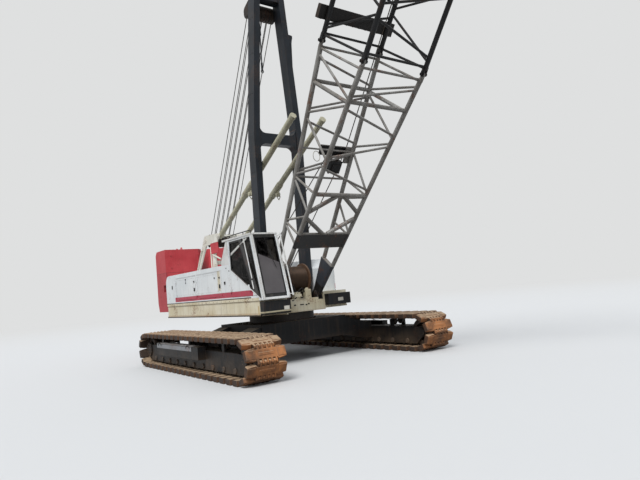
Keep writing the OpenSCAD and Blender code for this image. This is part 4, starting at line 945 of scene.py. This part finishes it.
seat_vinyl = vinyl("grained_black_vinyl", "#1d1d1f", "#2b2a29")
cab_floor = 1700
seat_at = Vector((650, -1137.5, cab_floor))
back_lean = -math.pi / 2 - 0.12
cushion("seat_cushion", seat_at + Vector((15, 0, 330)), (235, 222, 62), -0.06, (-0.45, 0.45))
cushion("seat_back", seat_at + Vector((-228, 0, 720)), (300, 212, 52), back_lean, (-0.4, 0.4))
black_plastic = enamel("moulded_black_plastic", "#1b1b1c", "#232324", rough=0.5, streaks=0.1, specks=0.05,
                       chips=0.0, dust=0.35)
stand = empty()
block(stand, (-210, -190, 235), (225, 190, 268), 8)
block(stand, (-275, -150, 300), (-235, 150, 620), 8)
rod(stand, (0, 0, 2), (0, 0, 236), 88, 32, 0.8)
for y in (-205, 205):
    block(stand, (-180, y - 20, 470), (120, y + 20, 500), 9)
    rod(stand, (-160, y, 268), (-160, y, 480), 12, 10)
bmesh.ops.translate(stand, vec=seat_at, verts=stand.verts)
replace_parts(fit("seat_stand", stand, "upperworks", black_plastic), "seat")
finish(black_plastic, "console")
levers = empty()
for y in (-1350, -1295, -1240):
    rod(levers, (1230, y, 500), (1180, y, 720), 7, 10)
    bmesh.ops.create_icosphere(levers, subdivisions=2, radius=24, matrix=Matrix.Translation((1176, y, 735)))
for y in (-1080, -960):
    block(levers, (1430, y - 40, 60), (1450, y + 40, 210), 6)
    rod(levers, (1445, y, 2), (1440, y, 70), 10, 8)
bmesh.ops.translate(levers, vec=z_way * cab_floor, verts=levers.verts)
fit("cab_levers", levers, "upperworks", black_plastic)


# Mast
# Two welded steel box legs, joined by a cross member, that hold the boom hoist's upper sheaves.
# Blue-black enamel, sound but scratched, with a spare link and a stowed rod hanging on it.
mast_angle = math.radians(88.4)
mast_way = Vector((math.cos(mast_angle), 0, math.sin(mast_angle)))
mast_back = Vector((-mast_way.z, 0, mast_way.x))
knee_s, head_s = 4060, 8200
leg_half, beam_w = 90, 145


def mast_at(s, y, w):
    """A point of the mast, s from its foot, y across and w behind its middle."""
    return mast_foot + mast_way * s + y_way * y + mast_back * w


def leg_y(s):
    """Distance of a mast leg's middle from the crane's middle."""
    return 660 - 300 * max(0, min(s, head_s) - knee_s) / (head_s - knee_s)


mast_enamel = enamel("blue_black_enamel", "#141a21", "#1f262e", rust="#5a4436", rough=0.36, streaks=0.35,
                     specks=0.3, chips=0.5, dust=0.1, shine=0.3)
finish(mast_enamel, "mast_legs")
mast_kit = empty()
for side in (-1, 1):
    for s in (700, 1900, 3100, 5200, 6300, 7300):
        for w in (-60, 60):
            bolt(mast_kit, mast_at(s, side * (leg_y(s) + leg_half), w), y_way * side, 12)
    rod(mast_kit, mast_at(8300, side * 555, 0), mast_at(8300, side * 575, 0), 46, 20, 0.9)
fit("mast_bolts", mast_kit, "mast", mast_enamel)
cross_s, cross_half, fillet_r = 4003, 140, 190
beam = empty()
outline = []
for s_side, y_side in ((1, 1), (1, -1), (-1, -1), (-1, 1)):
    centre_s = cross_s + s_side * (cross_half + fillet_r)
    bend = []
    for i in range(9):
        turn = math.radians(90 * i / 8)
        s = centre_s - s_side * fillet_r * math.cos(turn)
        inner = leg_y(s) - leg_half - fillet_r
        bend.append((s, y_side * (inner + fillet_r * math.sin(turn))))
    outline += bend if s_side * y_side < 0 else bend[::-1]
head_plate = [(s, side * (leg_y(s) - leg_half))
              for s, side in ((7855, 1), (head_s, 1), (head_s, -1), (7855, -1))]
for points in (outline, head_plate):
    loft(beam, [[mast_at(s, y, w) for s, y in points] for w in (-beam_w, beam_w)])
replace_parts(fit("mast_cross_beams", beam, "mast", mast_enamel), "mast_cross_member")
link = empty()
near_y = -330
link_high, link_low = mast_at(7030, near_y, -95), mast_at(5930, near_y, -95)
rod(link, mast_at(7050, -365, -95), mast_at(7050, -300, -95), 30, 12)
block(link, link_high + Vector((-35, -25, -230)), link_high + Vector((35, 25, -20)), 12)
rod(link, link_high - z_way * 225, link_low, 15, 10)
rod(link, link_low - z_way * 90, link_low + z_way * 140, 27)
sweep(link, circle(link_low - z_way * 100, y_way * 34, z_way * 44, 16), 11, closed=True)
rod_y = leg_y(6900) + leg_half + 62
bracket = ((7030, -70), (7010, 95), (6800, 60), (6700, -75))
loft(link, [[mast_at(s, rod_y + y, -80) + x_way * dx for s, y in bracket] for dx in (-22, 22)])
sweep(link, circle(mast_at(6960, rod_y + 60, -80), y_way * 34, mast_way * 60, 18), 12, closed=True)
rod(link, mast_at(6820, rod_y + 30, -80), mast_at(5905, rod_y + 5, -80), 36, 14)
rod(link, mast_at(5950, rod_y - 60, -80), mast_at(5950, rod_y + 5, -80), 24, 10)
fit("mast_links", link, "mast", mast_enamel)


# Boom stops
# Two telescoping steel tubes that keep the boom from falling back. Pale olive-cream enamel,
# faded and dusty, with rust where the sleeve's edges chip.
stop_enamel = enamel("faded_olive_enamel", "#c0bda6", "#aca88f", grime="#4d4634", rust="#74513a", rough=0.5,
                     streaks=0.6, specks=0.6, chips=0.6)
finish(stop_enamel, "boom_stops")
stop_angle = math.radians(27)
stop_way = Vector((math.cos(stop_angle), 0, math.sin(stop_angle)))
stop_over = Vector((-stop_way.z, 0, stop_way.x))
stop_kit = empty()
for side in (-1, 1):
    pin = stop_foot + y_way * side * 440
    for s, length in ((2260, 70), (2460, 50), (5095, 50)):
        rod(stop_kit, pin + stop_way * s, pin + stop_way * (s + length), 84, 24)
    hang = pin + stop_way * 2400
    block(stop_kit, hang + Vector((-90, -16, -250)), hang + Vector((70, 16, -60)), 10)
    for out in (-1, 1):
        eye = hang + Vector((-20, out * 18, -190))
        rod(stop_kit, eye, eye + y_way * out * 34, 62, 20, 0.9)
    sweep(stop_kit, [hang + Vector(bend) for bend in ((-150, 40, -60), (-170, 60, -230), (-60, 50, -330),
                                                      (40, 40, -250))], 12)
    bolt_circle(stop_kit, pin + stop_way * 5145, 50, 6, stop_way, 9, y_way, stop_over)
fit("stop_fittings", stop_kit, "boom_stops", stop_enamel)


# Boom
# A lattice of drawn steel tube in three pinned sections. The base section is old grey enamel
# weathered to bare metal and rust, its foot webs darker; the insert and the tip are black. A tray
# of folded plate on the base section guides the hoist rope.
boom_angle = math.radians(52)
boom_way = Vector((math.cos(boom_angle), 0, math.sin(boom_angle)))
boom_up = Vector((-boom_way.z, 0, boom_way.x))
section_len = 6100
boom_len = 3 * section_len
chord_y, chord_w = 800, 784


def boom_at(s, y, w):
    """A point of the boom, s from its foot, y across and w above its middle."""
    return boom_foot + boom_way * s + y_way * y + boom_up * w


foot_cut = ((boom_at(330, 0, 0), boom_way),)
web_cut = ((boom_at(1005, 0, 0), boom_way),)
plate_cuts = ((boom_at(2032, 0, 0), boom_way), (boom_at(1610, 0, 0), -boom_way),
              (boom_at(1820, 0, -225), boom_up))
grey_enamel = enamel(
    "weathered_grey_enamel", "#9b9a96", "#6f6b65", grime="#2c241e", rust="#6a4632", rough=0.42,
    streaks=0.8, specks=0.85, chips=0.8, dust=0.3,
    marks=(("#131416", (1600, -900, 2500), (2700, 900, 3400), 20, plate_cuts),
           ("#3b4149", (500, -900, 1400), (2000, 900, 3200), 20, web_cut),
           ("#141517", (500, -900, 1400), (2000, 900, 3200), 30, foot_cut)))
finish(grey_enamel, "boom_base")
beam_cuts = ((boom_at(6785, 0, 0), boom_way), (boom_at(6495, 0, 0), -boom_way),
             (boom_at(6500, 0, 815), -boom_up))
boom_enamel = enamel("black_boom_enamel", "#121315", "#1c1d1f", rust="#4d3324", grime="#2c261f", rough=0.42,
                     streaks=0.4, specks=0.4, chips=0.5, dust=0.12, shine=0.25,
                     marks=(("#2e231a", (3200, -1100, 6800), (5200, 1100, 8200), 20, beam_cuts),))
finish(boom_enamel, "boom_insert", "boom_tip")
finish(greasy_steel, "head_sheaves")
pins = empty()
for side in (-1, 1):
    for s in (section_len, 2 * section_len):
        for w in (-chord_w, chord_w):
            for out in (-1, 1):
                point = boom_at(s, side * chord_y + out * 65, w)
                rod(pins, point, point + y_way * out * 12, 36, 16, 0.9)
            clip = boom_at(s, side * (chord_y + 82), w)
            sweep(pins, circle(clip, boom_way * 30, boom_up * 30, 12), 4, 6, closed=True)
    bolt_circle(pins, boom_at(boom_len, side * 421, 0), 105, 6, y_way * side, 12, boom_way, boom_up)
fit("boom_pins", pins, "boom", boom_enamel)
boom_place = Matrix.Translation(boom_foot) @ Matrix((boom_way, y_way, boom_up)).transposed().to_4x4()
tray = empty()
for low, high, chamfer in (((3650, -150, 632), (3880, 700, 644), 2),
                           ((3650, -150, 560), (3662, 700, 640), 2),
                           ((3868, -150, 575), (3880, 700, 640), 2),
                           ((3250, 150, 430), (3560, 480, 618), 12),
                           ((3500, 200, 560), (3700, 240, 640), 4),
                           ((3500, 390, 560), (3700, 430, 640), 4),
                           ((3330, 200, 400), (3480, 430, 436), 8)):
    block(tray, low, high, chamfer)
for y in (215, 315, 415):
    rod(tray, (3245, y, 520), (3215, y, 520), 26)
bmesh.ops.transform(tray, matrix=boom_place, verts=tray.verts)
fit("rope_guide_tray", tray, "boom", boom_enamel)
rusty_box = empty()
block(rusty_box, (6545, -420, 932), (6735, -60, 1040), 14)
block(rusty_box, (6525, -1010, 932), (6755, -905, 960), 6)
for y in (-360, -240, -120):
    block(rusty_box, (6600, y - 14, 1036), (6680, y + 14, 1056), 4)
for y in range(-940, 960, 170):
    block(rusty_box, (6500, y - 8, 822), (6494, y + 8, 930), 1)
bmesh.ops.transform(rusty_box, matrix=boom_place, verts=rusty_box.verts)
fit("beam_fittings", rusty_box, "boom", winch_steel)
cord = empty()
sweep(cord, circle(boom_at(3690, -250, 590) - z_way * 90, y_way * 95, z_way * 120, 24), 8, 6, closed=True)
fit("guide_rope_loop", cord, "boom", rope_steel("pale_cord", "#b7b2a6", "#8f897c"))


# Hoist ropes
# The main hoist rope runs from the rear drum over the guide on the boom's left upper chord to
# the head, and the second one from the next drum. Between the drum and the guide each stretch is
# straight and rides on no body.
drum_top = 2268
head_turn_r = 361
hoist_r = rope_d / 2


def hoist_rope(name, drum_x, y, guide_s, guide_w, head_y):
    """A hoist rope: drum to guide, then guide to head sheave."""
    start = Vector((drum_x, y, drum_top))
    guide = boom_at(guide_s, y, guide_w)
    lower = empty()
    laid_rope(lower, start, guide, hoist_r, step=22)
    piece = fit(name + "_lower", lower, None, wire_rope, smooth=60)
    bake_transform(piece)
    upper = empty()
    laid_rope(upper, guide, boom_at(boom_len, head_y, head_turn_r), hoist_r, step=30)
    fit(name + "_upper", upper, "boom", wire_rope, smooth=60)


hoist_rope("main_hoist_rope", -640, 685, 3700, 731, 240)
hoist_rope("second_hoist_rope", -1590, 180, 4300, 480, 0)
wraps = empty()
for y in (-240, 0, 240):
    sweep(wraps, circle(boom_at(boom_len, y, 0), boom_up * head_turn_r, boom_way * head_turn_r, 18, 142),
          hoist_r)
fit("head_rope_turns", wraps, "boom", wire_rope, smooth=60)


# Pendants and hook block
# Steel pendant ropes in forged sockets hold the boom, and the hook block hangs on the hoist
# rope's falls: two steel cheeks, one sheave and a forged hook, in grey enamel worn to steel.
finish(rope_steel("pendant_steel", "#3a3733", "#56514a"), "pendants")
hook_enamel = enamel("worn_hook_enamel", "#44423e", "#35322e", rust="#6a4a35", rough=0.5, streaks=0.4,
                     specks=0.5, chips=0.7, metal=0.3, grain=0.2)
finish(hook_enamel, "hook_block")
tip = boom_at(boom_len, 0, 0)
hook_x, hook_y = tip.x + head_turn_r + 0.3, -120
sheave_z, cheek_z = tip.z - 3200, tip.z - 3000
falls = empty()
for y in (-240, 0):
    laid_rope(falls, (hook_x, y, sheave_z), (hook_x, y, tip.z), hoist_r)
piece = fit("rope_hook_falls", falls, "hook", wire_rope, smooth=60)
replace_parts(piece, "hook_falls")
block_kit = empty()
sweep(block_kit, circle((hook_x, hook_y, sheave_z), y_way * 120, z_way * -120, 16, 180), hoist_r)
for side in (-1, 1):
    for drop, half in ((60, 60), (340, 60), (560, 60), (700, 70)):
        for y in (hook_y - half, hook_y + half):
            bolt(block_kit, (hook_x + side * 84, y, cheek_z - drop), x_way * side, 14)
rod(block_kit, (hook_x, hook_y - 105, cheek_z - 920), (hook_x, hook_y + 60, cheek_z - 810), 8, 8)
fit("hook_block_kit", block_kit, "hook", hook_enamel)


# Studio
# A pale paper floor that fades into the backdrop, a soft overcast sky and one wide lamp. For
# light that bounces, floor and sky are darker than they look, as open ground would be.
paper = "#dfe0e0"


def seen_directly(tree):
    """1 where a ray from the camera, a reflection or glass looks, and 0 for light that bounces."""
    ray = add(tree, "LightPath").outputs
    seen = add(tree, "Math", {0: ray["Is Camera Ray"], 1: ray["Is Glossy Ray"]}, operation="MAXIMUM")
    return add(tree, "Math", {0: seen, 1: ray["Is Transmission Ray"]}, operation="MAXIMUM")


def studio_floor():
    """A wide pale floor, 2 mm under the tracks, that melts into the backdrop far off."""
    form = empty()
    bmesh.ops.create_circle(form, cap_ends=True, segments=96, radius=400)
    mesh = bpy.data.meshes.new("floor")
    form.to_mesh(mesh)
    form.free()
    floor = bpy.data.objects.new("floor", mesh)
    floor.location.z = -0.002
    scene.collection.objects.link(floor)
    material, tree, place = blank("floor_paper")
    matt = add(tree, "BsdfPrincipled", {"Base Color": "#d3d4d4", "Roughness": 0.9})
    far = add(tree, "VectorMath", {0: place}, operation="LENGTH").outputs["Value"]
    far = add(tree, "MapRange", {"Value": far, "From Min": 14, "From Max": 60},
              interpolation_type="SMOOTHSTEP")
    glow = add(tree, "Emission", {"Color": paper})
    both = add(tree, "MixShader", {0: far, 1: matt, 2: glow})
    dull = add(tree, "BsdfPrincipled", {"Base Color": "#6b6966", "Roughness": 0.9})
    both = add(tree, "MixShader", {0: seen_directly(tree), 1: dull, 2: both})
    add(tree, "OutputMaterial", {"Surface": both})
    mesh.materials.append(material)


studio_floor()
world = bpy.data.worlds.new("studio")
world.use_nodes = True
tree = world.node_tree
tree.nodes.clear()
sky = add(tree, "Background", {"Color": "#e4e8ee", "Strength": 0.75})
backdrop = add(tree, "Background", {"Color": paper, "Strength": 1.0})
both = add(tree, "MixShader", {0: seen_directly(tree), 1: sky, 2: backdrop})
add(tree, "OutputWorld", {"Surface": both})
scene.world = world
sun = bpy.data.objects.new("sun", bpy.data.lights.new("sun", "SUN"))
sun.data.energy = 2.4
sun.data.angle = math.radians(25)
sun.rotation_euler = (math.radians(38), math.radians(8), math.radians(28))
scene.collection.objects.link(sun)
scene.view_settings.view_transform = "Standard"
